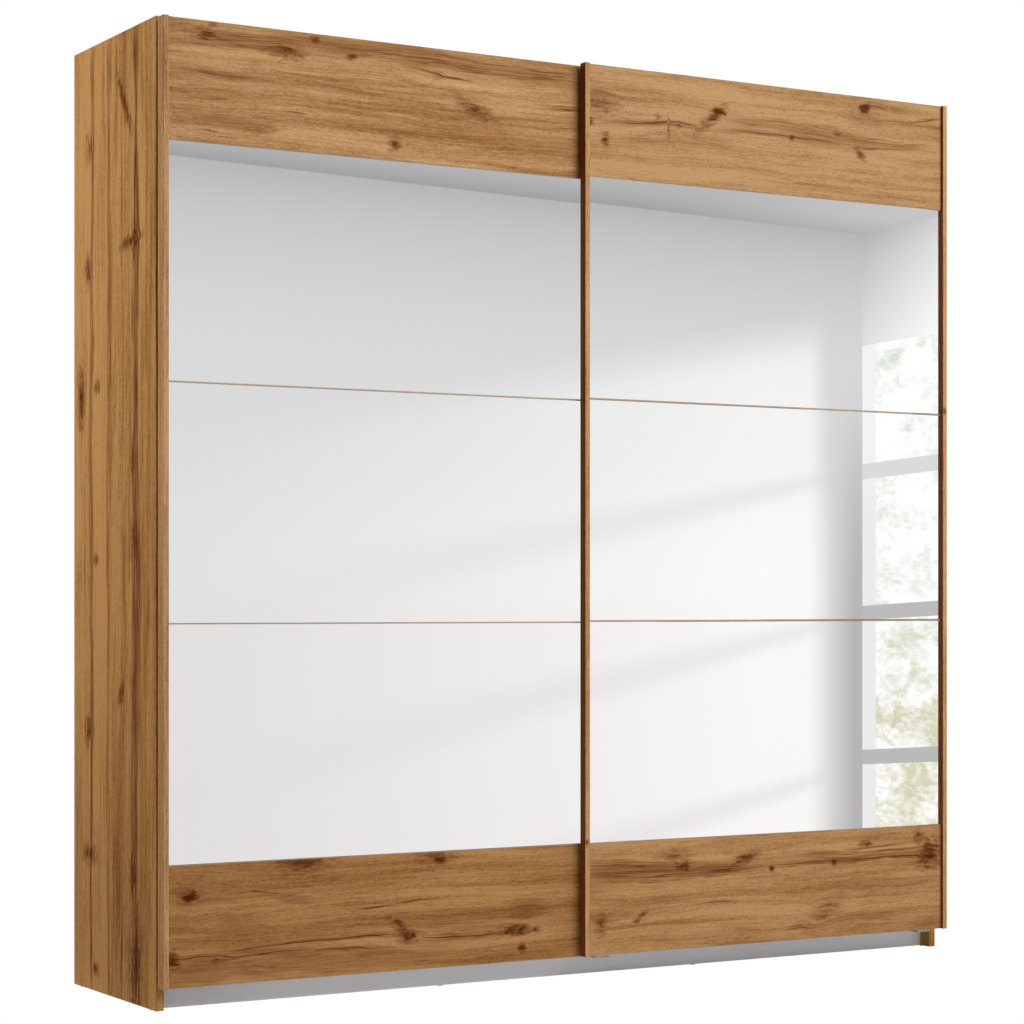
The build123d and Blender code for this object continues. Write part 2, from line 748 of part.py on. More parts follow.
    tongue = guide_groove / 2 - guide_play
    tongue_y = (groove_y[door] - tongue, groove_y[door] + tongue)
    tongue_top = guide_rail_z + guide_groove_depth - tongue_gap
    if recess:
        arm_back = groove_y[door] + steel / 2
        ear_top = tongue_top - slider_height + slider_overlap
        arm_path = [
            (arm_back, ear_top),
            (arm_back, arm_low),
            (plate_front, arm_low),
            (plate_front, guide_top),
        ]
        arms = bent_plates(arm_path, guides, guide_width)
        with BuildPart() as guide_arms:
            add(arms.part)
            screw_holes(guide_screws)
        keep(guide_arms, f"{door}_door_guide_arms")
        slider_z = (tongue_top - slider_height, tongue_top)
        with BuildPart() as sliders:
            for x in guides:
                along = (x - guide_width / 2, x + guide_width / 2)
                block(along, tongue_y, slider_z)
                slot = (arm_back - steel, arm_back)
                block(along, slot, (slider_z[0], ear_top), Mode.SUBTRACT)
        keep(sliders, f"{door}_door_sliders")
    else:
        with BuildPart() as shoes:
            for x in guides:
                along = (x - guide_width / 2, x + guide_width / 2)
                block(along, (leaf_back, leaf_back + guide_wall), (guide_low, guide_top))
                block(along, (leaf_back, tongue_y[1]), (guide_low, guide_low + guide_foot))
                block(along, tongue_y, (guide_low, tongue_top))
            screw_holes(guide_screws)
        keep(shoes, f"{door}_door_guides")

    with BuildPart() as door_screws:
        screws(hanger_screws + guide_screws)
    keep(door_screws, f"{door}_door_screws")


make_door("rear", rear_back, rear_bottom, recess=0, behind=strip_behind)
make_door("front", front_back, rear_bottom + front_lift, recess=steel, behind=0)
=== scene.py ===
"""Looks of a two-door sliding wardrobe: oak decor boards, mirror panes, running gear and studio.

Lengths are in metres. +X runs to the right, +Y to the wall and +Z up, with the floor at 0.
"""

import logging
import math
from dataclasses import dataclass, field, replace
from enum import Enum
from typing import Any

import bmesh
import bpy
import numpy as np
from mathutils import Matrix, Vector


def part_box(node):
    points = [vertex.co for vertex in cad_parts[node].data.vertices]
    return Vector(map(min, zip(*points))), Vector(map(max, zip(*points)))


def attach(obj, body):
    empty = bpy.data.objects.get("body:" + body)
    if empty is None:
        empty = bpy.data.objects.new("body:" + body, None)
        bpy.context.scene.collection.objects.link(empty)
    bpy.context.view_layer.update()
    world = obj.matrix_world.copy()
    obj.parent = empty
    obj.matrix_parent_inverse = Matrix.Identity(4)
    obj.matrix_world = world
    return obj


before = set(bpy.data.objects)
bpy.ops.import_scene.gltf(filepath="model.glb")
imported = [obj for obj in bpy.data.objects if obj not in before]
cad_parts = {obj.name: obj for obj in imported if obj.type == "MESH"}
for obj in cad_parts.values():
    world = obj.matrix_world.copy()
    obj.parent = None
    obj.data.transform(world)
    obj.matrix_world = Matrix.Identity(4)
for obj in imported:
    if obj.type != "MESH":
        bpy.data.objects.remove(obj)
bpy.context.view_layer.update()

LOG = logging.getLogger("wardrobe")
MM = 0.001
WHITE = (1.0, 1.0, 1.0, 1.0)

Material = bpy.types.Material
Object = bpy.types.Object
Socket = bpy.types.NodeSocket
Tree = bpy.types.NodeTree
Pair = tuple[float, float]
Triple = tuple[float, float, float]


def linear(colour: str) -> tuple[float, float, float, float]:
    """Turns an sRGB hex colour into linear light.

    Args:
        colour: Six hex digits after a hash sign.

    Returns:
        Red, green and blue in linear light, and an alpha of 1.
    """
    parts = np.array([int(colour[i : i + 2], 16) for i in (1, 3, 5)]) / 255
    light = np.where(parts <= 0.04045, parts / 12.92, ((parts + 0.055) / 1.055) ** 2.4)
    return (*map(float, light), 1.0)


def feed(node: bpy.types.Node, inputs: dict[Any, Any]) -> None:
    """Fills a node's inputs.

    Args:
        node: The node.
        inputs: Each input's name or number, with a value, a hex colour or a socket.
    """
    for name, value in inputs.items():
        if isinstance(value, Socket):
            node.id_data.links.new(value, node.inputs[name])
        else:
            node.inputs[name].default_value = linear(value) if isinstance(value, str) else value


def sums(way: str) -> tuple[str, int, dict]:
    """Describes a node that works on numbers."""
    return "Math", 0, {"operation": way}


def vectors(way: str, out: Any = 0) -> tuple[str, Any, dict]:
    """Describes a node that works on vectors."""
    return "VectorMath", out, {"operation": way}


class Kind(Enum):
    """The shader nodes that the finishes are made of: type, output in use and settings.

    A kind is called to add one node of it.
    """

    COORD = ("TexCoord", "Object", {})
    WALL = ("UVMap", 0, {"uv_map": "wall"})
    NORMAL = ("NewGeometry", "Normal", {})
    SEEN = ("LightPath", "Is Camera Ray", {})
    SPLIT = ("SeparateXYZ", 0, {})
    JOIN = ("CombineXYZ", 0, {})
    AXES = ("Mapping", 0, {"vector_type": "TEXTURE"})
    MOVE = vectors("ADD")
    FROM = vectors("SUBTRACT")
    SCALE = vectors("MULTIPLY_ADD")
    DOT = vectors("DOT_PRODUCT", "Value")
    LENGTH = vectors("LENGTH", "Value")
    ADD = sums("ADD")
    LESS = sums("SUBTRACT")
    TIMES = sums("MULTIPLY")
    OVER = sums("DIVIDE")
    TIMES_ADD = sums("MULTIPLY_ADD")
    MOST = sums("MAXIMUM")
    LEAST = sums("MINIMUM")
    SIZE = sums("ABSOLUTE")
    SINE = sums("SINE")
    POWER = sums("POWER")
    WHOLE = sums("FLOOR")
    REST = sums("FRACT")
    ABOVE = sums("GREATER_THAN")
    BELOW = sums("LESS_THAN")
    RANGE = ("MapRange", 0, {})
    SMOOTH = ("MapRange", 0, {"interpolation_type": "SMOOTHSTEP"})
    NOISE = ("TexNoise", "Fac", {})
    CELLS = ("TexVoronoi", "Color", {})
    CURVE = ("ValToRGB", 0, {})
    BETWEEN = ("Mix", 0, {})
    BLEND = ("Mix", 2, {"data_type": "RGBA"})
    BUMP = ("Bump", 0, {})
    DENT = ("Bump", 0, {"invert": True})
    EMISSION = ("Emission", 0, {})
    DIFFUSE = ("BsdfDiffuse", 0, {})
    EITHER = ("MixShader", 0, {})

    def __call__(self, *values: Any, out: str | int | None = None, **named: Any) -> Socket:
        """Adds one node with its settings, values and links.

        Args:
            *values: Its first inputs, in order, after its tree where no node may feed it.
            out: The output that is wanted, where it isn't the kind's own.
            **named: Other inputs, by name.

        Returns:
            The wanted output. Its node is the socket's node.
        """
        if values and isinstance(values[0], Tree):
            tree, *values = values
        else:
            tree = next(v.id_data for v in (*values, *named.values()) if isinstance(v, Socket))
        name, usual, settings = self.value
        made = tree.nodes.new("ShaderNode" + name)
        for setting, value in settings.items():
            setattr(made, setting, value)
        feed(made, {**dict(enumerate(values)), **named})
        return made.outputs[usual if out is None else out]


class Grain(Enum):
    """The way the printed grain runs on a board, as its along, across and through directions."""

    LEVEL = ((1.0, 0.0, 0.0), (0.0, 1.0, 1.0), (0.0, -1.0, 1.0))
    UPRIGHT = ((0.0, 0.0, 1.0), (1.0, 1.0, 0.0), (1.0, -1.0, 0.0))


def streaks(
    place: Socket, size: Triple, seed: float, detail: float = 2.0, out: Any = None
) -> Socket:
    """Draws soft random patches of a given size, such as fibres or stains.

    Args:
        place: Where on the piece, in metres.
        size: A patch's size along each direction of place, in metres.
        seed: Picks another pattern.
        detail: How many finer layers lie on it.
        out: Color for three numbers instead of one.

    Returns:
        Numbers from 0 to 1.
    """
    start = (1.7 * seed, 2.3 * seed, 0.9 * seed)
    scaled = Kind.SCALE(place, tuple(1 / s for s in size), start)
    return Kind.NOISE(Vector=scaled, Scale=1.0, Detail=detail, Roughness=0.6, out=out)


def own(tree: Tree, kind: str) -> bpy.types.Node:
    """Finds the node of a kind that a new tree comes with."""
    return next(node for node in tree.nodes if node.type == kind)


def bare(name: str) -> tuple[Material, Tree]:
    """Makes a material that has no shader yet.

    Args:
        name: The material's name.

    Returns:
        The material and its node tree.
    """
    made = bpy.data.materials.new(name)
    made.use_nodes = True
    made.node_tree.nodes.remove(own(made.node_tree, "BSDF_PRINCIPLED"))
    return made, made.node_tree


def put(name: str, data: Any) -> Object:
    """Puts an object in the scene.

    Args:
        name: The object's name.
        data: Its mesh, lamp or camera.

    Returns:
        The object.
    """
    made = bpy.data.objects.new(name, data)
    bpy.context.scene.collection.objects.link(made)
    return made


@dataclass(frozen=True)
class Finish:
    """A surface as it is made, kept as one material."""

    name: str

    def surface(self, place: Socket) -> dict[str, Any]:
        """Draws the surface; each kind of finish has its own way.

        Args:
            place: The point on the piece, in metres.

        Returns:
            The shader's inputs, by name.
        """
        raise NotImplementedError

    def material(self) -> Material:
        """Builds the finish.

        Returns:
            Its material.
        """
        made = bpy.data.materials.new(self.name)
        made.use_nodes = True
        tree = made.node_tree
        feed(own(tree, "BSDF_PRINCIPLED"), self.surface(Kind.COORD(tree)))
        return made


@dataclass(frozen=True)
class Knot:
    """A knot in the oak print."""

    along: float  # Its middle, from the board's end, along the grain
    across: float  # Its middle, from the board's lower or front edge, across the grain
    length: float  # Half of its length
    width: float  # Half of its width
    dark: float = 0.8  # How dark its heart is, from 0 to 1
    turn: float = 0.0  # How far it lies turned from the grain, in degrees


@dataclass(frozen=True)
class Stain:
    """A dark band that runs with the grain, with a crack along its middle."""

    start: float  # Where it begins along the grain
    end: float  # Where it ends
    across: float  # Its place across the grain at its start
    rise: float  # How far it has climbed across the grain at its end
    width: float  # Half its width
    dark: float  # How dark the band is, from 0 to 1
    crack: float = 0.0  # How much of its length is cracked, from 0 to 1


@dataclass(frozen=True)
class Layout:
    """What is printed where on a board."""

    knots: tuple[Knot, ...] = ()
    stains: tuple[Stain, ...] = ()
    # Where one printed plank ends across the grain, and how much darker the next one is
    planks: tuple[Pair, ...] = ()

    @classmethod
    def read(cls, knots: tuple, stains: tuple, *planks: Pair) -> "Layout":
        """Reads a layout whose lengths are in mm.

        Args:
            knots: Rows of a knot's values.
            stains: Rows of a stain's values.
            *planks: Rows of a plank's values.

        Returns:
            The layout in metres.
        """
        return cls(
            tuple(Knot(*(v * MM for v in row[:4]), *row[4:]) for row in knots),
            tuple(Stain(*(v * MM for v in row[:5]), *row[5:]) for row in stains),
            tuple((edge * MM, darker) for edge, darker in planks),
        )

    def end_for_end(self, long: float, wide: float) -> "Layout":
        """Turns it end for end, so that two boards alike don't show the same knots.

        Args:
            long: The board's length along the grain.
            wide: Its width across it.

        Returns:
            The turned layout.
        """
        return Layout(
            tuple(replace(k, along=long - k.along, across=wide - k.across) for k in self.knots),
            tuple(
                replace(s, start=long - s.end, end=long - s.start, across=wide - s.across - s.rise)
                for s in self.stains
            ),
            tuple((wide - edge, -darker) for edge, darker in self.planks),
        )


@dataclass(frozen=True)
class OakDecor(Finish):
    """Knotty oak decor: printed paper in melamine resin, pressed onto board with a pore texture.

    The eye sees honey-brown wood with wavy growth bands, dark stains with cracks, and knots that
    the bands part round, under a dull and slightly silky surface.
    """

    grain: Grain = Grain.UPRIGHT
    # The corner of the board that knots and stains are measured from
    origin: Triple = (0.0, 0.0, 0.0)
    seed: float = 0.0  # Picks another length of the print
    layout: Layout = Layout()
    pale: str = "#CAA273"  # Wood beside a stain
    light: str = "#C29B6D"  # Early wood
    mid: str = "#8B5F36"  # Late wood
    stain: str = "#6A3711"  # Stained wood
    heart: str = "#502007"  # Cracks and the hearts of knots
    shade: float = 1.0  # How light this sheet of the print came out
    # Painted shade: edges sets how far the faces that look left are darkened towards the stain
    # colour.
    edges: float = 0.0  # How much darker the faces that look left are
    reach: float = 2.4  # How far a knot bends the grain, in half sizes of the knot

    def on_board(self, place: Socket) -> Socket:
        """Gives the point as its distances along the grain, across it and through the board."""
        point = Kind.FROM(place, self.origin)
        return Kind.JOIN(*(Kind.DOT(point, way) for way in self.grain.value))

    def part_round_knots(self, place: Socket, fray: Socket) -> tuple[Any, Any]:
        """Bends the grain round each knot, and tells how near a point is to one.

        A knot's distance is the length of the point's offset, each way divided by its half size.
        The pull falls from its most in the middle to 0 at the reach, and moves the bands
        outwards. Nearness falls from the knot's darkness to 0 over the same distance.

        Args:
            place: The point on the board.
            fray: Noise round 0 that makes the outlines ragged.

        Returns:
            How far the grain is moved across, and the nearness.
        """
        across = Kind.SPLIT(place, out=1)
        shift = nearest = 0.0
        for knot in self.layout.knots:
            turn = (0.0, 0.0, math.radians(knot.turn))
            size = (knot.length, knot.width, 1000.0)
            far = Kind.LENGTH(Kind.AXES(place, (knot.along, knot.across, 0.0), turn, size))
            pull = Kind.SMOOTH(far, 0.0, self.reach, -0.7, 0.0)
            shift = Kind.TIMES_ADD(Kind.LESS(across, knot.across), pull, shift)
            near = Kind.RANGE(Kind.ADD(fray, far), 0.0, self.reach, knot.dark, 0.0)
            nearest = Kind.MOST(nearest, near)
        return shift, nearest

    def draw_stains(self, bent: Socket, lines: Socket, veins: Socket) -> tuple[Any, Any, Any]:
        """Draws the dark bands, their cracks and the pale wood beside them.

        A band's line is its start plus its rise times the share of its length, and wanders by
        up to 11 mm. Its distance is how far off that line a point lies, divided by half its width,
        which swells and thins along it. Up to a frayed 1.1 it is dark, and from 0.9 to 2.6 pale.
        A crack is up to 1.5 mm to each side of the line, where a slow noise lets it through.

        Args:
            bent: The point on the board, bent round the knots.
            lines: Thin streaks from 0 to 1 that fray the bands.
            veins: Thin dark lines from 0 to 1 that fill them.

        Returns:
            The bands, the cracks and the pale wood.
        """
        bands = cracks = pales = 0.0
        along, across, _ = Kind.SPLIT(bent).node.outputs
        slow = streaks(bent, (0.24, 0.06, 0.1), self.seed + 7, 3.0, "Color")
        wander, swell, gate = Kind.SPLIT(slow).node.outputs
        wander = Kind.TIMES_ADD(wander, 0.022, -0.011)
        swell = Kind.RANGE(swell, 0.35, 0.65, 0.55, 1.35)
        fray = Kind.TIMES_ADD(lines, 1.5, -0.75)
        strong = Kind.RANGE(lines, 0.32, 0.60, 0.25, 0.80)
        strong = Kind.LEAST(Kind.TIMES_ADD(veins, 0.65, strong), 1.1)
        wander = Kind.LESS(across, wander)
        for stain in self.layout.stains:
            slope = stain.rise / (stain.end - stain.start)
            level = stain.across - slope * stain.start
            off = Kind.SIZE(Kind.LESS(wander, Kind.TIMES_ADD(along, slope, level)))
            share = Kind.OVER(Kind.OVER(off, stain.width), swell)
            frayed = Kind.ADD(share, fray)
            ends = 1.0
            fade = min(0.12, 0.4 * (stain.end - stain.start))
            for edge, inside in ((stain.start, 1.0), (stain.end, -1.0)):
                end = Kind.SMOOTH(along, edge - 0.01 * inside, edge + fade * inside)
                ends = Kind.TIMES(ends, end)
            band = Kind.TIMES(Kind.SMOOTH(frayed, 0.5, 1.1, stain.dark, 0.0), strong)
            bands = Kind.MOST(bands, Kind.TIMES(band, ends))
            pale = Kind.SMOOTH(share, 0.9, 2.6, stain.dark, 0.0)
            pales = Kind.MOST(pales, Kind.TIMES(pale, ends))
            if stain.crack:
                edge = 0.58 - 0.30 * stain.crack
                wide = Kind.TIMES(Kind.RANGE(gate, edge, edge + 0.12, 0.0, 1.5 * MM), ends)
                crack = Kind.RANGE(Kind.LESS(wide, off), 0.0, 1.0 * MM, 0.0, 0.8)
                cracks = Kind.MOST(cracks, crack)
        return bands, cracks, pales

    def blend(self, share: Any, first: Any, second: str) -> Socket:
        """Lays a colour over another, both in this sheet's shade.

        Args:
            share: How much of the second shows, from 0 to 1.
            first: The colour below, as an ink or as drawn.
            second: The ink above.

        Returns:
            The mixed colour.
        """
        first, second = (
            (*(self.shade * v for v in linear(ink)[:3]), 1.0) if isinstance(ink, str) else ink
            for ink in (first, second)
        )
        return Kind.BLEND(Factor=share, A=first, B=second)

    def vein(self, bent: Socket) -> Socket:
        """Draws thin dark growth lines about 6 mm apart, from 0 to 1.

        They lie where a slow noise, 0.36 m by 8.5 mm, crosses its middle: its distance from 0.5 is
        0 on the line, and at 0.05 the line has faded out.

        Args:
            bent: The point on the board, bent round the knots.

        Returns:
            How dark the lines are.
        """
        slow = streaks(bent, (0.36, 0.0085, 0.03), self.seed + 8)
        return Kind.SMOOTH(Kind.SIZE(Kind.LESS(slow, 0.5)), 0.0, 0.05, 1.0, 0.0)

    def ground(self, bent: Socket, fibre: Socket, speck: Socket, veins: Socket) -> Socket:
        """Draws the plain wood: growth bands, fibres, patches of tone and printed planks.

        Args:
            bent: The point on the board, bent round the knots.
            fibre: Fibres about 5 mm wide, from 0 to 1.
            speck: Short pores about 4 mm wide, from 0 to 1.
            veins: Thin growth lines, from 0 to 1.

        Returns:
            The colour.
        """
        growth = streaks(bent, (0.55, 0.018, 0.04), self.seed + 1, 4.0)
        tone = streaks(bent, (0.5, 0.06, 0.2), self.seed + 3)
        amount = -1.95
        layers = ((growth, 1.6), (fibre, 0.8), (speck, 0.7), (tone, 1.4), (veins, 0.28))
        for layer, weight in layers:
            amount = Kind.TIMES_ADD(layer, weight, amount)
        across = Kind.SPLIT(bent, out=1)
        for edge, darker in self.layout.planks:
            amount = Kind.ADD(amount, Kind.RANGE(across, edge - MM, edge + MM, 0.0, darker))
        return self.blend(Kind.RANGE(amount), self.light, self.mid)

    def surface(self, place: Socket) -> dict[str, Any]:
        """Draws the oak decor.

        Args:
            place: The point on the piece, in metres.

        Returns:
            The shader's inputs, by name.
        """
        tree = place.id_data
        place = self.on_board(place)
        # Slow waves, 0.4 m long, carry the bands up and down by a few millimetres.
        wave = Kind.TIMES_ADD(streaks(place, (0.40, 0.14, 0.3), self.seed), 0.040, -0.020)
        fray = streaks(place, (0.018, 0.010, 0.01), self.seed + 5, 3.0)
        fray = Kind.TIMES_ADD(fray, 3.8, -1.9)
        shift, near = self.part_round_knots(place, fray)
        bent = Kind.MOVE(place, Kind.JOIN(0.0, Kind.ADD(shift, wave)))
        lines = streaks(bent, (0.20, 0.007, 0.014), self.seed + 6, 3.0)
        veins = self.vein(bent)
        bands, cracks, pales = self.draw_stains(bent, lines, veins)
        # Fibres 5 mm wide and pores 3.5 mm, coarser than the real 1 and 0.3 so that they show.
        fibre = streaks(place, (0.028, 0.005, 0.01), self.seed + 2, 3.0)
        speck = streaks(place, (0.008, 0.0035, 0.005), self.seed + 4, 1.0)
        wood = self.ground(bent, fibre, speck, veins)
        wood = self.blend(Kind.TIMES(tree, pales, 0.35), wood, self.pale)
        # Round a knot the wood is brown, in streaks and faint rings.
        rings = Kind.SINE(Kind.TIMES(tree, near, 36.0))
        rings = Kind.RANGE(Kind.TIMES_ADD(rings, 0.05, lines), 0.3, 0.6, 0.35, 1.0)
        halos = Kind.TIMES(Kind.RANGE(tree, near, 0.02, 0.5, 0.0, 0.95), rings)
        hearts = Kind.SMOOTH(tree, near, 0.45, 0.80, 0.0, 0.85)
        hearts = Kind.TIMES(hearts, Kind.RANGE(speck, 0.3, 0.6, 0.7, 1.0))
        brown = Kind.MOST(halos, bands)
        pores = Kind.RANGE(speck, 0.58, 0.75, 0.0, 0.3)
        wood = self.blend(Kind.MOST(brown, pores), wood, self.stain)
        wood = self.blend(Kind.MOST(hearts, cracks), wood, self.heart)
        if self.edges:
            # Painted shade: faces that look left are blended towards the stain colour, by up to
            # edges, standing in for the shade on the strips' sides.
            left_face_painted_shade = Kind.RANGE(Kind.SPLIT(Kind.NORMAL(tree)), -0.5, -0.9, 0.0, self.edges)
            wood = self.blend(left_face_painted_shade, wood, self.stain)
        deep = Kind.TIMES_ADD(speck, 0.6, fibre)
        return {
            "Base Color": wood,
            "Roughness": Kind.RANGE(fibre, 0.3, 0.7, 0.46, 0.58),
            "Normal": Kind.DENT(Height=deep, Strength=0.12, Distance=0.0004),
            # The open pores scatter what a smooth resin surface would reflect, and warm it.
            "Specular IOR Level": 0.03,
            "Specular Tint": "#FFB878",
        }


@dataclass(frozen=True)
class LinenDecor(Finish):
    """Pale grey melamine decor with a fine linen print, and a dull surface."""

    base: str = "#C9C8C5"  # The ground colour
    thread: str = "#BAB9B6"  # The print's darker threads
    pitch: float = 1.4 * MM  # Thread spacing, coarser than the real 0.5 mm so that it shows

    def surface(self, place: Socket) -> dict[str, Any]:
        """Draws the linen decor: threads 30 pitches long along each direction.

        Args:
            place: The point on the piece, in metres.

        Returns:
            The shader's inputs, by name.
        """
        fine, long = self.pitch, 30 * self.pitch
        threads = 0.0
        for seed, size in enumerate(((long, fine, fine), (fine, fine, long), (fine, long, fine))):
            threads = Kind.TIMES_ADD(streaks(place, size, 4.0 + seed, 1.0), 0.4, threads)
        amount = Kind.RANGE(threads, 0.45, 0.75)
        return {
            "Base Color": Kind.BLEND(Factor=amount, A=self.base, B=self.thread),
            "Roughness": 0.55,
            "Normal": Kind.BUMP(Height=threads, Strength=0.15, Distance=0.0002),
        }


@dataclass(frozen=True)
class SilveredGlass(Finish):
    """Silvered float glass with ground edges: a mirror in front, pale green at its edges."""

    face: float = 0.0  # The pane's front, along Y. What lies further back than its bevel is an edge
    bevel: float = 0.8 * MM  # Depth of the ground bevel

    def surface(self, place: Socket) -> dict[str, Any]:
        """Draws the mirror. Silver behind clear glass reflects about 92 %, less in red and blue.

        Args:
            place: The point on the piece, in metres.

        Returns:
            The shader's inputs, by name.
        """
        edge = Kind.ABOVE(Kind.SPLIT(place, out=1), self.face + 1.05 * self.bevel)
        ground = Kind.TIMES_ADD(streaks(place, (0.004, 0.004, 0.004), 2.0), 0.3, 0.15)
        return {
            "Base Color": Kind.BLEND(Factor=edge, A="#F6F7F6", B="#6F8F80"),
            "Metallic": Kind.LESS(1.0, edge),
            "Roughness": Kind.TIMES(edge, ground),
        }


@dataclass(frozen=True)
class Fibreboard(Finish):
    """Pressed wood fibre, raw or lacquered: an even felt of fibres with fine specks."""

    base: str = "#9A7A58"  # Ground colour
    speck: str = "#6E5238"  # Colour of the dark fibres
    gloss: float = 0.85  # Roughness
    lacquer: str = ""  # Colour of the face to the room, or empty where both faces are raw

    def surface(self, place: Socket) -> dict[str, Any]:
        """Draws the fibreboard.

        Args:
            place: The point on the piece, in metres.

        Returns:
            The shader's inputs, by name.
        """
        felt = streaks(place, (0.012, 0.012, 0.012), 1.0, 4.0)
        # Fibres 1.5 mm long, drawn twice their size.
        fibre = streaks(place, (0.003, 0.003, 0.003), 2.0, 3.0)
        mixed = Kind.TIMES(felt, fibre)
        amount = Kind.RANGE(mixed, 0.16, 0.36)
        colour = Kind.BLEND(Factor=amount, A=self.base, B=self.speck)
        if self.lacquer:
            # The felt shows faintly through the lacquer.
            coat = Kind.BLEND(Factor=Kind.TIMES(amount, 0.12), A=self.lacquer, B=self.speck)
            facing = Kind.BELOW(Kind.SPLIT(Kind.NORMAL(place.id_data), out=1), -0.5)
            colour = Kind.BLEND(Factor=facing, A=colour, B=coat)
        return {
            "Base Color": colour,
            "Roughness": self.gloss,
            "Normal": Kind.BUMP(Height=mixed, Strength=0.15, Distance=0.0002),
        }


@dataclass(frozen=True)
class Metal(Finish):
    """A metal with the marks of how it was made: drawn, rolled, plated or anodised."""

    colour: str = "#C6C8CA"
    shade: str = "#A9ABAE"  # Its colour in the marks
    gloss: Pair = (0.25, 0.4)  # Lowest and highest roughness
    mark: Triple = (0.08, 0.0006, 0.0006)  # A mark's size along X, Y and Z
    depth: float = 0.05  # How deep the marks are
    spangle: float = 0.0  # Size of zinc crystals, or 0 for none

    def surface(self, place: Socket) -> dict[str, Any]:
        """Draws the metal.

        Args:
            place: The point on the piece, in metres.

        Returns:
            The shader's inputs, by name.
        """
        marks = streaks(place, self.mark, 1.0, 3.0)
        amount = Kind.RANGE(marks, 0.3, 0.7)
        if self.spangle:
            zinc = Kind.CELLS(Vector=place, Scale=1 / self.spangle)
            amount = Kind.TIMES(amount, Kind.SPLIT(zinc))
        return {
            "Base Color": Kind.BLEND(Factor=amount, A=self.colour, B=self.shade),
            "Roughness": Kind.RANGE(amount, 0.0, 1.0, *self.gloss),
            "Metallic": 1.0,
            "Normal": Kind.BUMP(Height=marks, Strength=self.depth, Distance=0.0002),
        }


@dataclass(frozen=True)
class Polymer(Finish):
    """Moulded, turned or extruded plastic or rubber, with a fine spark-eroded grain."""

    colour: str = "#2B2B2C"
    shade: str = "#3A3A3B"  # Its colour where it is worn or dusty
    gloss: float = 0.5  # Roughness
    grit: float = 1.2 * MM  # Size of the mould's grain
    depth: float = 0.25  # How deep the grain is

    def surface(self, place: Socket) -> dict[str, Any]:
        """Draws the plastic.

        Args:
            place: The point on the piece, in metres.

        Returns:
            The shader's inputs, by name.
        """
        grain = streaks(place, (self.grit,) * 3, 1.0)
        amount = Kind.RANGE(streaks(place, (0.03, 0.03, 0.03), 2.0, 3.0), 0.35, 0.75)
        ends = (self.gloss - 0.08, self.gloss + 0.08)
        return {
            "Base Color": Kind.BLEND(Factor=amount, A=self.colour, B=self.shade),
            "Roughness": Kind.RANGE(grain, 0.0, 1.0, *ends),
            "Normal": Kind.BUMP(Height=grain, Strength=self.depth, Distance=0.0001),
        }


# Zinc plate: its colours, roughness, mottling, depth and crystals.
ZINC = ("#BFC3C4", "#8F9598", (0.28, 0.5), (0.02, 0.02, 0.02), 0.05, 3 * MM)


def dress(finish: Finish, *nodes: str) -> None:
    """Gives CAD nodes one finish.

    Args:
        finish: The finish.
        *nodes: The nodes' names.
    """
    made = finish.material()
    for name in nodes:
        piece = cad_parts[name]
        piece.data.materials.clear()
        piece.data.materials.append(made)
    LOG.info("%s on %d nodes", finish.name, len(nodes))


def corner(node: str) -> Triple:
    """Gives the lowest corner of a CAD node."""
    return tuple(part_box(node)[0])


@dataclass
class Panel:
    """One board of the carcass or a door, in its length of the oak print."""

    node: str
    grain: Grain
    seed: float
    layout: Layout = Layout()
    # Colours and shades that differ from the print's own
    colours: dict[str, Any] = field(default_factory=dict)

    def dress(self) -> None:
        """Gives the board its finish."""
        laid = (self.grain, corner(self.node), self.seed, self.layout)
        dress(OakDecor(f"oak_decor_{self.node}", *laid, **self.colours), self.node)


@dataclass
class Door:
    """A door: two oak panels, three panes on a backing board, and its edge strips."""

    name: str  # rear or front
    boards: list[Panel]

    def node(self, part: str) -> str:
        """Gives the name of one of this door's CAD nodes."""
        return f"{self.name}_door_{part}"

    def dress(self) -> None:
        """Gives the door's pieces their finishes."""
        for board in self.boards:
            board.dress()
        front = self.name == "front"
        if front:
            # The rear door's mirrors don't show the front door's edge, which darkens them.
            for node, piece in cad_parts.items():
                if node.startswith("front_door") and node != self.node("strip_right"):
                    piece.visible_glossy = False
        panes = [self.node(f"mirror_{place}") for place in ("lower", "middle", "upper")]
        dress(SilveredGlass(f"silvered_glass_{self.name}", corner(panes[0])[1]), *panes)
        dress(Fibreboard(f"raw_mdf_{self.name}"), self.node("mirror_backing"))
        joint = Polymer(f"tan_pvc_{self.name}", "#A98F78", "#9C826B", 0.6)
        dress(joint, self.node("joint_strips"))
        plates = ["hangers", "axles", "screws"] + ["guide_arms"] * front
        dress(Metal(f"zinc_plated_steel_{self.name}", *ZINC), *(self.node(p) for p in plates))
        guide = self.node("sliders" if front else "guides")
        dress(Polymer(f"natural_acetal_{self.name}", "#E6E6E3", "#DADAD6", 0.4), guide)
        wheels = [f"{self.name}_roller_{place}" for place in ("left", "right")]
        dress(Polymer(f"turned_nylon_{self.name}", "#D9D6CC", "#C4C0B4", 0.38), *wheels)


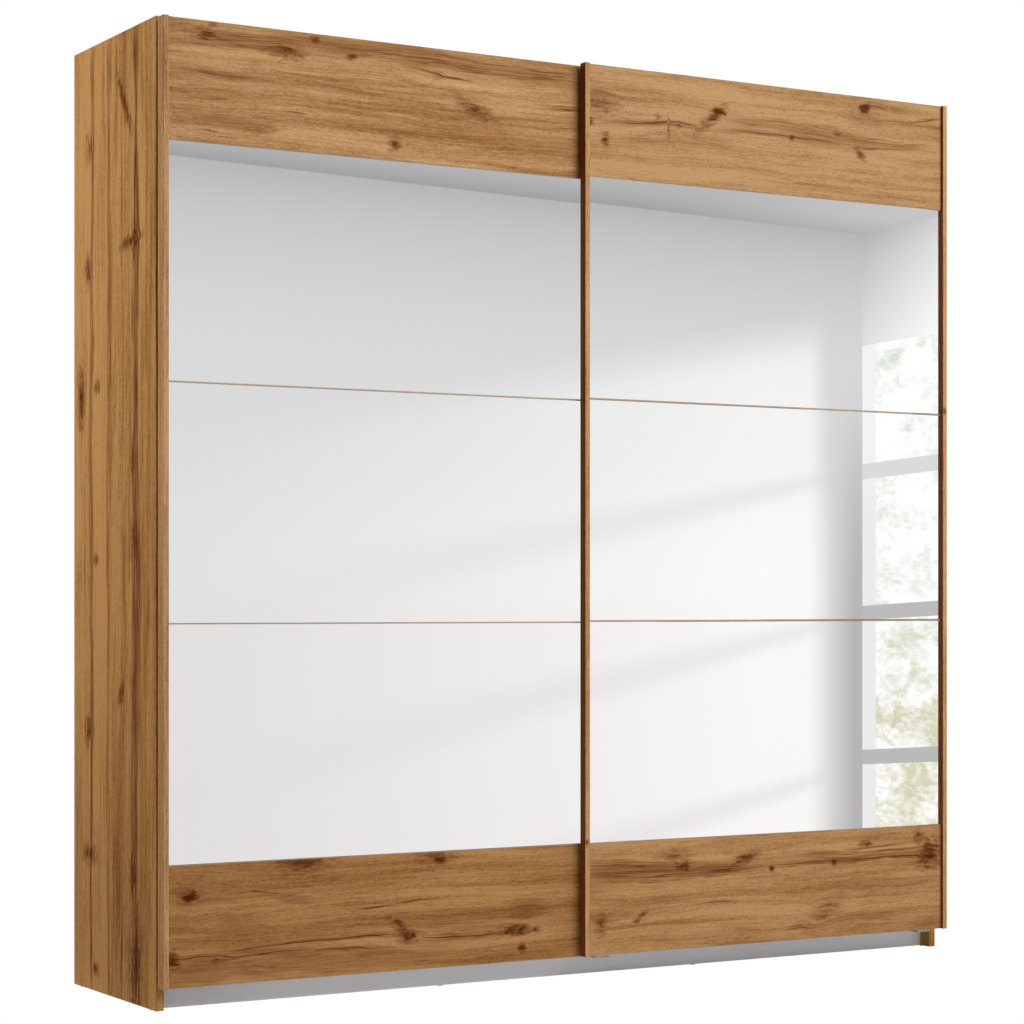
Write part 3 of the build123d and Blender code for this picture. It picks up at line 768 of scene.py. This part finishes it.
@dataclass
class Roller:
    """A door's wheel: turned nylon, with a steel cover over its bearing on each face."""

    door: str  # rear or front
    side: str  # left or right
    inner: float = 3.5 * MM  # The covers' inner radius
    outer: float = 6.1 * MM  # Their outer radius
    proud: float = 0.35 * MM  # How far they stand out of the hub
    sunk: float = 0.3 * MM  # How far they reach into it
    groove: float = 0.2 * MM  # How deep the groove in their faces is
    rim: float = 0.1 * MM  # How high their rims stand
    axle: float = 3.0 * MM  # The axle's radius
    spun: float = 0.5 * MM  # How high the axle's hammered end is
    facets: int = 40  # Steps round a turned piece

    def turned(self, name: str, profile: np.ndarray, centre: np.ndarray, way: float) -> Object:
        """Turns a closed outline round an axis that runs along Y.

        The outline gives a radius and a height at each of its points. A point of the surface is
        the centre, plus the radius times the cosine of the turn in X and its sine in Z, plus the
        height in Y, which way turns round.

        Args:
            name: The object's name.
            profile: The outline, one row a point, in order.
            centre: The place on the axis that heights are measured from.
            way: 1 or -1.

        Returns:
            The object.
        """
        turn = np.linspace(0.0, math.tau, self.facets, endpoint=False)
        radius, height = profile[:, :1], profile[:, 1:]
        offset = (radius * np.cos(turn), way * height + 0.0 * turn, radius * np.sin(turn))
        points = np.stack(offset, axis=-1) + centre
        row, column = np.indices(points.shape[:2])
        below, beside = (row + 1) % len(profile), (column + 1) % self.facets
        corners = ((row, column), (below, column), (below, beside), (row, beside))
        faces = np.stack([i * self.facets + j for i, j in corners], axis=-1)
        mesh = bpy.data.meshes.new(name)
        mesh.from_pydata(points.reshape(-1, 3).tolist(), [], faces.reshape(-1, 4).tolist())
        # The ends on the axis are drawn together to one point each.
        solid = bmesh.new()
        solid.from_mesh(mesh)
        bmesh.ops.remove_doubles(solid, verts=solid.verts, dist=0.002 * MM)
        bmesh.ops.recalc_face_normals(solid, faces=solid.faces)
        solid.to_mesh(mesh)
        solid.free()
        mesh.shade_smooth()
        mesh.set_sharp_from_angle(angle=math.radians(35))
        return put(name, mesh)

    def cover(self) -> np.ndarray:
        """Gives the outline of a cover.

        Between its two rims the height is the proud height, less a groove: half a wave of the
        sine over the middle half of the width.

        Returns:
            The outline's points, as radius and height.
        """
        share = np.linspace(0.0, 1.0, 13)
        radius = self.inner + self.rim + (self.outer - self.inner - 2 * self.rim) * share
        dip = np.sin(np.pi * np.clip((share - 0.25) / 0.5, 0.0, 1.0))
        face = np.column_stack([radius, self.proud - self.groove * dip])
        rims = [(self.outer, self.rim), (self.outer, -self.sunk)]
        rims += [(self.inner, -self.sunk), (self.inner, self.rim)]
        return np.vstack([face, rims])

    def spun_end(self) -> np.ndarray:
        """Gives the outline of an axle's end: a quarter of an ellipse, on a short cylinder.

        Returns:
            The outline's points, as radius and height.
        """
        turn = np.linspace(0.0, 0.5 * np.pi, 9)
        bow = np.column_stack([np.sin(turn) * self.axle, np.cos(turn) * self.spun])
        return np.vstack([bow, [[self.axle, -self.sunk], [0.0, -self.sunk]]])

    def build(self) -> None:
        """Builds the covers and the axle's end, and gives them their finish."""
        low, high = (np.array(end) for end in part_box(f"{self.door}_roller_{self.side}"))
        middle = (low + high) / 2
        steel = f"pressed_steel_{self.door}_{self.side}"
        steel = Metal(steel, "#C6C9CB", "#9FA4A7", (0.22, 0.4)).material()
        for face, way in (("front", -1.0), ("back", 1.0)):
            centre = middle + np.array([0.0, way * (high[1] - low[1]) / 2, 0.0])
            name = f"{self.door}_{self.side}_bearing_cover_{face}"
            made = self.turned(name, self.cover(), centre, way)
            made.data.materials.append(steel)
            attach(made, f"{self.door}_{self.side}_wheel")
        centre = np.array([middle[0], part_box(f"{self.door}_door_axles")[1][1], middle[2]])
        made = self.turned(f"{self.door}_{self.side}_axle_end", self.spun_end(), centre, 1.0)
        made.data.materials.append(steel)
        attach(made, f"{self.door}_door")
        LOG.info("bearing covers and axle end, %s %s", self.door, self.side)


@dataclass
class Carcass:
    """The boards that stand round the doors, with what is fixed to them."""

    sides: list[Panel]

    def dress(self) -> None:
        """Gives the carcass and its fittings their finishes."""
        for board in self.sides:
            board.dress()
        inner = ["top_panel", "bottom_panel", "centre_divider", "inner_divider"]
        inner += ["hat_shelf_left", "hat_shelf_right"] + [f"shelf_{i}" for i in range(1, 5)]
        dress(LinenDecor("grey_linen_decor"), *inner)
        # Painted light: the plinth decor is drawn near white and faintly blue, paler than the grey
        # linen inside, to make up for the light that its shaded place under the doors lacks.
        plinth = ("plinth_front", "plinth_rear")
        dress(LinenDecor("plinth_decor_with_painted_light", "#F3F8FF", "#ECF1F9"), *plinth)
        back = Fibreboard("lacquered_hardboard", "#A98B6B", "#876B4F", 0.6, "#C6C3BE")
        dress(back, "back_panel_left", "back_panel_right")
        dress(Polymer("white_pvc", "#DEDDD9", "#D2D1CC", 0.45), "back_joint_profile")
        anodised = Metal("anodised_aluminium", "#D4D6D8", "#BBBEC1", (0.3, 0.42))
        dress(anodised, "top_track", "bottom_guide_rail")
        fittings = ("wall_brackets", "carcass_screws", "cam_fittings", "shelf_pins")
        dress(Metal("zinc_plated_steel", *ZINC), *fittings)
        chrome = ("#DDE0E3", "#CDD1D6", (0.06, 0.14), (0.2, 0.002, 0.002), 0.02)
        rails = ("clothes_rail_left", "clothes_rail_right", "rail_sockets")
        dress(Metal("chrome_plate", *chrome), *rails)
        dress(Polymer("moulded_abs"), "track_stops")
        dress(Polymer("natural_polythene", "#E2E1DD", "#D6D5D0", 0.5), "floor_glides")
        dress(Polymer("soft_rubber", "#1D1D1E", "#2A2A2A", 0.75, 2 * MM), "stop_buffers")


@dataclass
class Room:
    """A pale room in front of the wardrobe, which only the mirrors see.

    Two walls meet in a corner, with a tall window beside it. Each wall carries its own distance
    from the corner and its height as a UV map, and shines with the tone of a day-lit wall.
    """

    corner: Pair = (4.34, -4.80)  # The corner's place on the floor plan
    end_a: Pair = (0.689, -4.354)  # A point on the long wall
    end_b: Pair = (4.274, -4.187)  # A point on the window wall
    long: float = 12.0  # Length of the long wall
    short: float = 4.4  # Length of the window wall
    height: float = 2.60  # Ceiling height
    below: float = -0.25  # How far the walls reach down
    # The share of light that a mirror gives back, made up for in the walls' light
    silver: float = 0.92

    def quad(self, name: str, points: list, uv: list, finish: Material) -> None:
        """Makes one flat wall that only mirrors see.

        Args:
            name: The object's name.
            points: Its four corners.
            uv: Their places on the wall, in metres.
            finish: Its material.
        """
        mesh = bpy.data.meshes.new(name)
        mesh.from_pydata(points, [], [(0, 1, 2, 3)])
        layer = mesh.uv_layers.new(name="wall")
        layer.data.foreach_set("uv", np.array(uv, np.float32).ravel())
        mesh.materials.append(finish)
        made = put(name, mesh)
        for kind in ("camera", "diffuse", "transmission", "volume_scatter", "shadow"):
            setattr(made, f"visible_{kind}", False)

    def shine(self, name: str) -> tuple[Material, Socket, Socket]:
        """Starts a wall's material.

        Args:
            name: The material's name.

        Returns:
            The material and the wall's two distances.
        """
        made, tree = bare(name)
        first, second, _ = Kind.SPLIT(Kind.WALL(tree)).node.outputs
        return made, first, second

    def close(self, tone: Socket, tint: Any = WHITE) -> None:
        """Ends the material of a wall: the tone as seen, raised to 2.2, is its light.

        Args:
            tone: The tone as seen, from 0 to 1.
            tint: The light's colour.
        """
        power = Kind.OVER(Kind.POWER(tone, 2.2), self.silver)
        light = Kind.EMISSION(Color=tint, Strength=power)
        feed(own(tone.id_data, "OUTPUT_MATERIAL"), {"Surface": light})

    def ramp(self, value: Socket, *stops: Pair) -> Socket:
        """Reads a smooth curve of tones.

        Args:
            value: Where on the curve.
            *stops: Pairs of a place and its tone, with the curve's two ends first.

        Returns:
            The tone.
        """
        low, high = stops[0][0], stops[1][0]
        curve = Kind.CURVE(Kind.RANGE(value, low, high))
        ramp = curve.node.color_ramp
        ramp.interpolation = "B_SPLINE"
        for number, (where, tone) in enumerate(stops):
            place = (where - low) / (high - low)
            element = ramp.elements[number] if number < 2 else ramp.elements.new(place)
            element.position = place
            element.color = (tone, tone, tone, 1)
        return curve

    def plaster(self) -> Material:
        """Builds the long wall's light: a slow rise from the ceiling down, a patch of sun with
        the window bars' shadows across it, and a dim strip beside the corner.

        Returns:
            The wall's material.
        """
        made, far, high = self.shine("plaster_wall")
        stops = (
            (-0.25, 0.872), (2.62, 0.69), (0.6, 0.880), (1.13, 0.874), (1.36, 0.860), (1.6, 0.848),
            (1.9, 0.846), (2.12, 0.824), (2.27, 0.800), (2.42, 0.770), (2.53, 0.738),
        )
        tone = self.ramp(high, *stops)
        # The sun comes down along the wall by 0.185 m for each metre.
        line = Kind.TIMES_ADD(far, 0.185, high)
        lit = Kind.SMOOTH(line, 2.30, 2.03)
        fade = Kind.RANGE(far, 0.7, 3.55, 0.1, 0.004)
        edge = Kind.SMOOTH(far, 0.2, 0.36)
        spread = Kind.RANGE(far, 0.0, 3.0, 0.05, 0.20)
        for level in (1.50, 0.83, 0.13):
            off = Kind.OVER(Kind.SIZE(Kind.LESS(line, level)), spread)
            lit = Kind.TIMES(lit, Kind.SMOOTH(off, 0.0, 1.0, 0.5, 1.0))
        tone = Kind.ADD(tone, Kind.TIMES(Kind.TIMES(lit, fade), edge))
        # Beside the corner the plaster is dimmer, from 0.24 m to 0.05 m from it.
        dim = Kind.TIMES(Kind.RANGE(far, 0.05, 0.24, 0.165, 0.0), Kind.SMOOTH(high, 2.1, 0.9))
        tone = Kind.LESS(tone, dim)
        warm = Kind.SMOOTH(high, 0.95, 0.75)
        self.close(tone, Kind.BLEND(Factor=warm, A=WHITE, B="#FFFBFC"))
        return made

    def leaves(self, far: Socket, high: Socket) -> Socket:
        """Draws the view outside: leaves that grow denser downwards, and bare branches.

        Args:
            far: The distance from the corner.
            high: The height.

        Returns:
            The colour.
        """
        point = Kind.JOIN(far, high)
        crowns = streaks(point, (0.26, 0.13, 1.0), 3.0)
        leaves = streaks(point, (0.045, 0.022, 1.0), 5.0, 3.0)
        leaves = Kind.TIMES_ADD(leaves, 0.8, crowns)
        # Leaves fill a larger share of the view lower down, and are yellower there.
        leaves = Kind.ADD(leaves, Kind.RANGE(high, 0.0, 1.0, 0.16, 0.01))
        leaves = Kind.RANGE(leaves, 0.88, 1.20)
        season = Kind.BLEND(Factor=Kind.RANGE(high, 0.9, 0.3), A="#DCE2D6", B="#D8D4B6")
        green = Kind.BLEND(Factor=leaves, A=WHITE, B=season)
        # Each branch is a line up from its foot that leans and wanders a little.
        sway = streaks(point, (0.5, 0.05, 1.0), 8.0)
        sway = Kind.ADD(far, Kind.TIMES_ADD(sway, 0.10, -0.05))
        for foot, low, top, lean, half in (
            (0.19, 0.26, 0.62, 1.35, 0.008),
            (0.19, 0.26, 0.50, -0.35, 0.007),
            (0.27, 0.30, 0.78, 0.15, 0.006),
        ):
            off = Kind.SIZE(Kind.LESS(sway, Kind.TIMES_ADD(high, lean, foot - lean * low)))
            off = Kind.TIMES(Kind.SMOOTH(off, 0.0, half, 0.35, 0.0), Kind.ABOVE(high, low))
            off = Kind.TIMES(off, Kind.RANGE(high, top, low))
            green = Kind.BLEND(Factor=off, A=green, B="#8F8A80")
        return green

    def window(self) -> Material:
        """Builds the window wall's light: plaster above, then a white frame with grey bars, and
        pale leaves outside.

        Returns:
            The wall's material.
        """
        made, far, high = self.shine("window_wall")
        stops = ((1.9, 0.94), (2.62, 0.69), (2.1, 0.885), (2.3, 0.835), (2.5, 0.765))
        tone = self.ramp(high, *stops)
        tone = Kind.ADD(tone, Kind.RANGE(far, 0.0, 0.62, -0.02, 0.09))
        green = self.leaves(far, high)
        below_top = Kind.BELOW(high, 2.083)
        glass = Kind.TIMES(Kind.ABOVE(far, 0.115), below_top)
        white = Kind.RANGE(high, 1.3, 1.5, 0.915, 0.945)
        tone = Kind.BETWEEN(Factor=below_top, A=tone, B=white)
        tone = Kind.BETWEEN(Factor=glass, A=tone, B=1.0)
        # Each bar: its height at the corner, its rise per metre, half its width, and its tone.
        for level, rise, half, shade in (
            (1.497, 0.023, 0.036, 0.85), (0.840, 0.038, 0.033, 0.725), (0.169, 0.075, 0.034, 0.720)
        ):
            off = Kind.SIZE(Kind.LESS(high, Kind.TIMES_ADD(far, rise, level)))
            bar = Kind.BELOW(off, half)
            tone = Kind.BETWEEN(Factor=bar, A=tone, B=shade)
            glass = Kind.TIMES(glass, Kind.LESS(1.0, bar))
        self.close(tone, Kind.BLEND(Factor=glass, A=WHITE, B=green))
        return made

    def ceiling(self) -> Material:
        """Builds the ceiling's light, dimmer beside the long wall and brighter by the window.

        Returns:
            The ceiling's material.
        """
        made, far, out = self.shine("ceiling")
        stops = ((0.0, 0.615), (3.0, 0.75), (0.16, 0.655), (0.45, 0.70), (1.0, 0.72))
        self.close(Kind.ADD(self.ramp(out, *stops), Kind.SMOOTH(far, 0.0, 1.6, 0.06, 0.0)))
        return made

    def floor_boards(self) -> Material:
        """Builds the floor's light: pale boards 0.19 m wide, each in its own tone, with dark seams
        where the place within a row is in its first 2.2 %.

        Returns:
            The floor's material.
        """
        made, far, out = self.shine("room_floor_boards")
        rows = Kind.OVER(out, 0.19)
        tone = streaks(Kind.JOIN(far, Kind.WHOLE(rows)), (3.0, 0.9, 1.0), 7.0, 1.0)
        figure = streaks(Kind.JOIN(far, out), (0.9, 0.05, 1.0), 9.0, 3.0)
        tone = Kind.TIMES_ADD(figure, 0.08, Kind.RANGE(tone, 0.0, 1.0, 0.60, 0.74))
        seam = Kind.BELOW(Kind.REST(rows), 0.022)
        self.close(Kind.TIMES_ADD(seam, -0.10, tone), "#FFEBD6")
        return made

    def build(self) -> None:
        """Sets up the walls, the ceiling and the floor."""
        start, end_a, end_b = (np.array(p) for p in (self.corner, self.end_a, self.end_b))
        way_a, way_b = ((p - start) / np.linalg.norm(p - start) for p in (end_a, end_b))
        far_a, far_b = start + way_a * self.long, start + way_b * self.short
        plaster = self.plaster()
        for name, base, end, reach, finish in (
            ("room_long_wall", start, far_a, self.long, plaster),
            ("room_window_wall", start, far_b, self.short, self.window()),
            ("room_end_wall", far_a, far_a + way_b * self.short, self.short, plaster),
        ):
            foot, top = self.below, self.height
            points = [(*base, foot), (*end, foot), (*end, top), (*base, top)]
            self.quad(name, points, [(0, foot), (reach, foot), (reach, top), (0, top)], finish)
        ends = (start, far_a, far_a + way_b * self.short, far_b)
        uv = [(0, 0), (self.long, 0), (self.long, self.short), (0, self.short)]
        for name, level, finish in (
            ("room_ceiling", self.height, self.ceiling()),
            ("room_floor", self.below, self.floor_boards()),
        ):
            self.quad(name, [(*end, level) for end in ends], uv, finish)
        LOG.info("room for the mirrors")


@dataclass
class Studio:
    """Camera, floor, lights and surroundings."""

    eye: Triple = (-3.301, -5.513, 0.880)  # The camera's place
    turn: float = 30.44  # The way it looks, from +Y towards +X, in degrees
    lens: float = 92.92  # Focal length in mm on a 36 mm sensor
    rise: float = 0.0902  # Vertical shift of the lens
    ambient: float = 0.52  # Light from above the horizon
    ground: float = 0.95  # Light from below it
    reach: float = 30.0  # How far the floor reaches

    def camera(self) -> None:
        """Sets up the level camera."""
        data = bpy.data.cameras.new("camera")
        data.sensor_width, data.lens = 36.0, self.lens
        data.shift_y, data.clip_end = self.rise, 200.0
        made = put("camera", data)
        made.location = self.eye
        made.rotation_euler = (math.radians(90), 0, -math.radians(self.turn))
        bpy.context.scene.camera = made

    def floor(self) -> None:
        """Lays a white floor. It lights the front from below, and the left side little."""
        mesh = bpy.data.meshes.new("floor")
        far = self.reach
        corners = [(-far, -far, 0), (far, -far, 0), (far, far, 0), (-far, far, 0)]
        mesh.from_pydata(corners, [], [(0, 1, 2, 3)])
        made = put("floor", mesh)
        made.visible_glossy = False
        pale, tree = bare("pale_floor")
        share = Kind.RANGE(Kind.SPLIT(Kind.COORD(tree)), -1.3, -0.8)
        dull = Kind.BLEND(Factor=share, A="#553A22", B=(0.93, 0.93, 0.93, 1))
        light = Kind.EMISSION(tree, Color=WHITE, Strength=1.0)
        both = Kind.EITHER(Kind.SEEN(tree), Kind.DIFFUSE(Color=dull), light)
        feed(own(tree, "OUTPUT_MATERIAL"), {"Surface": both})
        mesh.materials.append(pale)

    def surroundings(self) -> None:
        """Sets up an even white surround that lights more from below than from above, and less
        and more warmly from the left, where brown things stand."""
        world = bpy.data.worlds.new("surroundings")
        world.use_nodes = True
        bpy.context.scene.world = world
        tree = world.node_tree
        left, _, up = Kind.SPLIT(Kind.COORD(tree, out="Generated")).node.outputs
        warm = Kind.RANGE(left, -0.9, 0.1)
        left = Kind.RANGE(left, -0.9, 0.1, 0.15, 1.0)
        dome = Kind.TIMES(Kind.RANGE(up, -0.25, 0.45, self.ground, self.ambient), left)
        seen = Kind.SEEN(tree)
        strength = Kind.BETWEEN(Factor=seen, A=dome, B=1.0)
        tint = Kind.BLEND(Factor=Kind.MOST(seen, warm), A="#FFC68A", B=WHITE)
        feed(own(tree, "BACKGROUND"), {"Color": tint, "Strength": strength})

    def lamp(
        self, name: str, place: Triple, aim: Triple, size: float, power: float, shines: bool
    ) -> None:
        """Hangs one soft square lamp.

        Args:
            name: Its name.
            place: Where it hangs.
            aim: What it points at.
            size: Its side.
            power: Its power in watts.
            shines: Whether it makes highlights.
        """
        data = bpy.data.lights.new(name, "AREA")
        data.shape, data.size, data.energy = "SQUARE", size, power
        made = put(name, data)
        made.location = place
        made.rotation_euler = (Vector(aim) - Vector(place)).to_track_quat("-Z", "Y").to_euler()
        made.visible_glossy = shines

    def build(self) -> None:
        """Sets up the whole studio."""
        bpy.context.scene.view_settings.view_transform = "Standard"
        self.camera()
        self.floor()
        self.surroundings()
        self.lamp("key", (1.0, -4.4, 4.2), (0.0, 0.0, 1.4), 2.6, 190.0, True)
        # This one stands behind the doors' plane, so it lights the side and not the strips' edges.
        self.lamp("side", (-3.4, 0.9, 1.95), (-1.0, 0.1, 1.4), 1.8, 62.0, False)
        LOG.info("studio")


REAR_TOP = Layout.read(
    (
        (100, 231, 22, 9, 0.8), (289, 218, 30, 11, 0.7), (362, 249, 8, 6, 0.9),
        (115, 257, 9, 4, 0.5), (452, 222, 11, 5, 0.7), (568, 241, 10, 5, 0.6),
        (672, 202, 9, 6, 0.6), (765, 136, 36, 11, 0.6, -22), (226, 38, 30, 8, 0.45),
        (561, 38, 10, 10, 0.65),
    ),
    (
        (0, 400, 222, 8, 24, 0.75, 0.6), (330, 1080, 238, -10, 24, 0.7, 0.35),
        (560, 800, 214, -14, 7, 0.7, 1.0), (440, 580, 221, 4, 4, 0.4, 0.7),
        (0, 290, 150, -10, 13, 0.75, 0.8), (440, 750, 160, -12, 5, 0.35, 0.3),
        (930, 1080, 161, -6, 13, 0.75, 0.3), (280, 340, 80, -3, 3, 0.3, 1.0),
        (40, 300, 45, -10, 14, 0.45), (85, 140, 24, -2, 3, 0.3, 1.0),
        (850, 1080, 60, 4, 20, 0.35),
    ),
    (31, 0.22),
)
REAR_BOTTOM = Layout.read(
    (
        (60, 196, 12, 9, 0.95), (50, 206, 30, 22, 0.3), (329, 256, 38, 14, 0.7),
        (676, 245, 12, 7, 0.95), (660, 254, 32, 12, 0.5), (18, 59, 13, 12, 0.85),
        (125, 52, 20, 8, 0.5), (575, 100, 18, 8, 0.8, -30), (594, 77, 20, 9, 0.9),
        (877, 74, 30, 8, 0.85), (930, 71, 10, 5, 0.6), (894, 29, 7, 8, 0.75),
        (900, 119, 34, 16, 0.4), (165, 128, 40, 14, 0.2, -15),
    ),
    (
        (190, 285, 208, -18, 6, 0.7, 1.0), (200, 380, 200, -34, 14, 0.5),
        (450, 570, 142, 5, 6, 0.8, 1.0), (540, 680, 147, 6, 3, 0.4, 0.7),
        (-50, 400, 60, -2, 8, 0.6, 1.0), (340, 540, 55, 2, 5, 0.5, 0.9),
        (90, 620, 70, 12, 7, 0.55, 0.7), (570, 950, 75, -2, 8, 0.7, 1.0),
        (610, 920, 98, 16, 24, 0.4), (-50, 760, 34, 6, 34, 0.4),
        (600, 800, 208, 4, 4, 0.3, 0.4), (-50, 180, 195, -4, 12, 0.35, 0.3),
    ),
)
FRONT_TOP = Layout.read(
    (
        (35, 173, 36, 20, 0.5), (14, 127, 8, 6, 0.9), (382, 185, 14, 6, 1.0),
        (357, 163, 34, 8, 0.7, 39), (825, 234, 11, 9, 0.95), (832, 224, 40, 18, 0.3),
        (737, 164, 12, 5, 0.6), (598, 140, 6, 5, 0.9), (810, 118, 14, 6, 0.7, -50),
        (56, 87, 8, 12, 0.6), (205, 154, 6, 4, 0.6), (235, 130, 3, 16, 0.5), (265, 143, 7, 5, 0.6),
    ),
    (
        (30, 390, 125, 19, 9, 0.6, 1.0), (350, 800, 142, -4, 9, 0.55, 1.0),
        (740, 1000, 136, 14, 6, 0.5, 0.9), (360, 1080, 168, -18, 16, 0.5, 0.2),
        (950, 1080, 214, 26, 8, 0.6, 0.9), (820, 900, 235, 1, 4, 0.6, 0.9),
        (840, 910, 37, 2, 3, 0.3, 1.0), (-50, 100, 180, 0, 20, 0.4),
    ),
    (32, -0.15),
)
FRONT_BOTTOM = Layout.read(
    (
        (275, 199, 22, 8, 0.9), (255, 224, 30, 10, 0.4), (459, 208, 26, 8, 0.75, 15),
        (538, 180, 6, 5, 0.8), (829, 225, 12, 5, 0.7), (727, 185, 7, 5, 1.0),
        (994, 236, 11, 11, 0.6), (1030, 190, 26, 22, 0.9), (44, 70, 10, 16, 0.55),
        (151, 81, 16, 5, 0.6, 35), (700, 64, 40, 18, 0.42, 35),
    ),
    (
        (-50, 330, 208, 7, 12, 0.75, 0.6), (-50, 520, 190, 6, 26, 0.85, 0.5),
        (-50, 370, 172, 6, 12, 0.6, 0.4), (270, 580, 184, 4, 12, 0.7, 0.8),
        (500, 1080, 186, 4, 10, 0.7, 1.0), (600, 1080, 201, -5, 16, 0.7, 0.4),
        (730, 990, 216, 8, 8, 0.65, 0.9), (310, 450, 106, -3, 4, 0.35, 0.7),
        (500, 590, 100, -6, 4, 0.35, 0.6), (560, 720, 28, 18, 7, 0.7, 0.5),
        (600, 700, 44, 22, 7, 0.5), (640, 740, 62, 16, 6, 0.5),
        (700, 980, 45, -10, 12, 0.45), (940, 1080, 18, 2, 20, 0.45),
    ),
)
SIDE = Layout.read(
    (
        (1680, 117, 30, 12, 0.9), (1680, 145, 8, 36, 0.8, 8), (1190, 128, 30, 9, 0.7),
        (1010, 117, 40, 16, 0.7), (280, 128, 40, 12, 0.85), (90, 117, 80, 22, 0.8),
        (1990, 180, 46, 8, 0.8, 30), (680, 200, 20, 8, 0.7, -30), (1920, 388, 22, 14, 0.7),
        (1640, 395, 24, 13, 0.75), (1370, 342, 10, 12, 0.65), (980, 352, 8, 10, 0.65),
        (590, 392, 22, 16, 0.75), (310, 388, 14, 24, 0.7), (50, 352, 10, 14, 0.6),
        (1350, 440, 44, 14, 0.75),
    ),
    (
        (-50, 2200, 118, -4, 20, 0.9, 1.0), (500, 1100, 112, 0, 30, 0.75, 0.3),
        (-50, 2200, 378, -4, 14, 0.75, 1.0), (1200, 2200, 268, 0, 14, 0.6, 0.1),
        (800, 1120, 184, 8, 10, 0.75, 0.4), (-50, 220, 190, 0, 12, 0.75, 0.3),
        (1420, 1600, 138, 0, 7, 0.7, 0.3), (-50, 1200, 274, 0, 10, 0.5, 0.3),
    ),
    (283, -0.3),
)


def inks(pale: str, light: str, mid: str, stain: str, heart: str) -> dict[str, str]:
    """Names the five inks of a sheet of the print."""
    return {"pale": pale, "light": light, "mid": mid, "stain": stain, "heart": heart}


def boards() -> tuple[Door, Door, Carcass]:
    """Lays out the oak print over the boards.

    Returns:
        The rear door, the front door and the carcass.
    """
    level, upright = Grain.LEVEL, Grain.UPRIGHT
    deep = inks("#BA8F60", "#AF8455", "#7C5027", "#5E2B0C", "#451905")
    warm = inks("#BD9566", "#B58C5E", "#80552E", "#632F0F", "#4B1D07")
    side = inks("#C69A62", "#BD9058", "#7B4C1F", "#602B08", "#4B1B03")
    # Painted shade on the strips' faces that look left: strong and in a redder stain colour on the
    # front strips and the rear door's right strip, and faint on the rear door's left strip.
    left_face_painted_shade = {"edges": 0.9, "stain": "#6E3414"}
    rear = [
        Panel("rear_door_top_panel", level, 11.0, REAR_TOP),
        Panel("rear_door_bottom_panel", level, 23.0, REAR_BOTTOM, deep),
        Panel("rear_door_strip_left", upright, 31.0, colours={"edges": 0.15}),
        Panel("rear_door_strip_right", upright, 37.0, colours=left_face_painted_shade),
    ]
    front = [
        Panel("front_door_top_panel", level, 41.0, FRONT_TOP, {"shade": 0.85}),
        Panel("front_door_bottom_panel", level, 53.0, FRONT_BOTTOM, warm),
    ]
    for name, seed, along in (("left", 61.0, 0.268), ("right", 67.0, 1.316)):
        knot = Layout((Knot(along, 0.004, 0.006, 0.004),))
        front.append(Panel(f"front_door_strip_{name}", upright, seed, knot, left_face_painted_shade))
    low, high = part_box("side_right")
    turned = SIDE.end_for_end(high[2] - low[2], high[1] - low[1])
    sides = [
        Panel("side_left", upright, 71.0, SIDE, side),
        Panel("side_right", upright, 79.0, turned, side),
    ]
    return Door("rear", rear), Door("front", front), Carcass(sides)


def main() -> None:
    """Builds and dresses the wardrobe, its room and its studio."""
    logging.basicConfig(level=logging.INFO, format="%(name)s: %(message)s")
    Studio().build()
    Room().build()
    for assembly in boards():
        assembly.dress()
    for door in ("rear", "front"):
        for side in ("left", "right"):
            Roller(door, side).build()


if __name__ == "__main__":
    main()
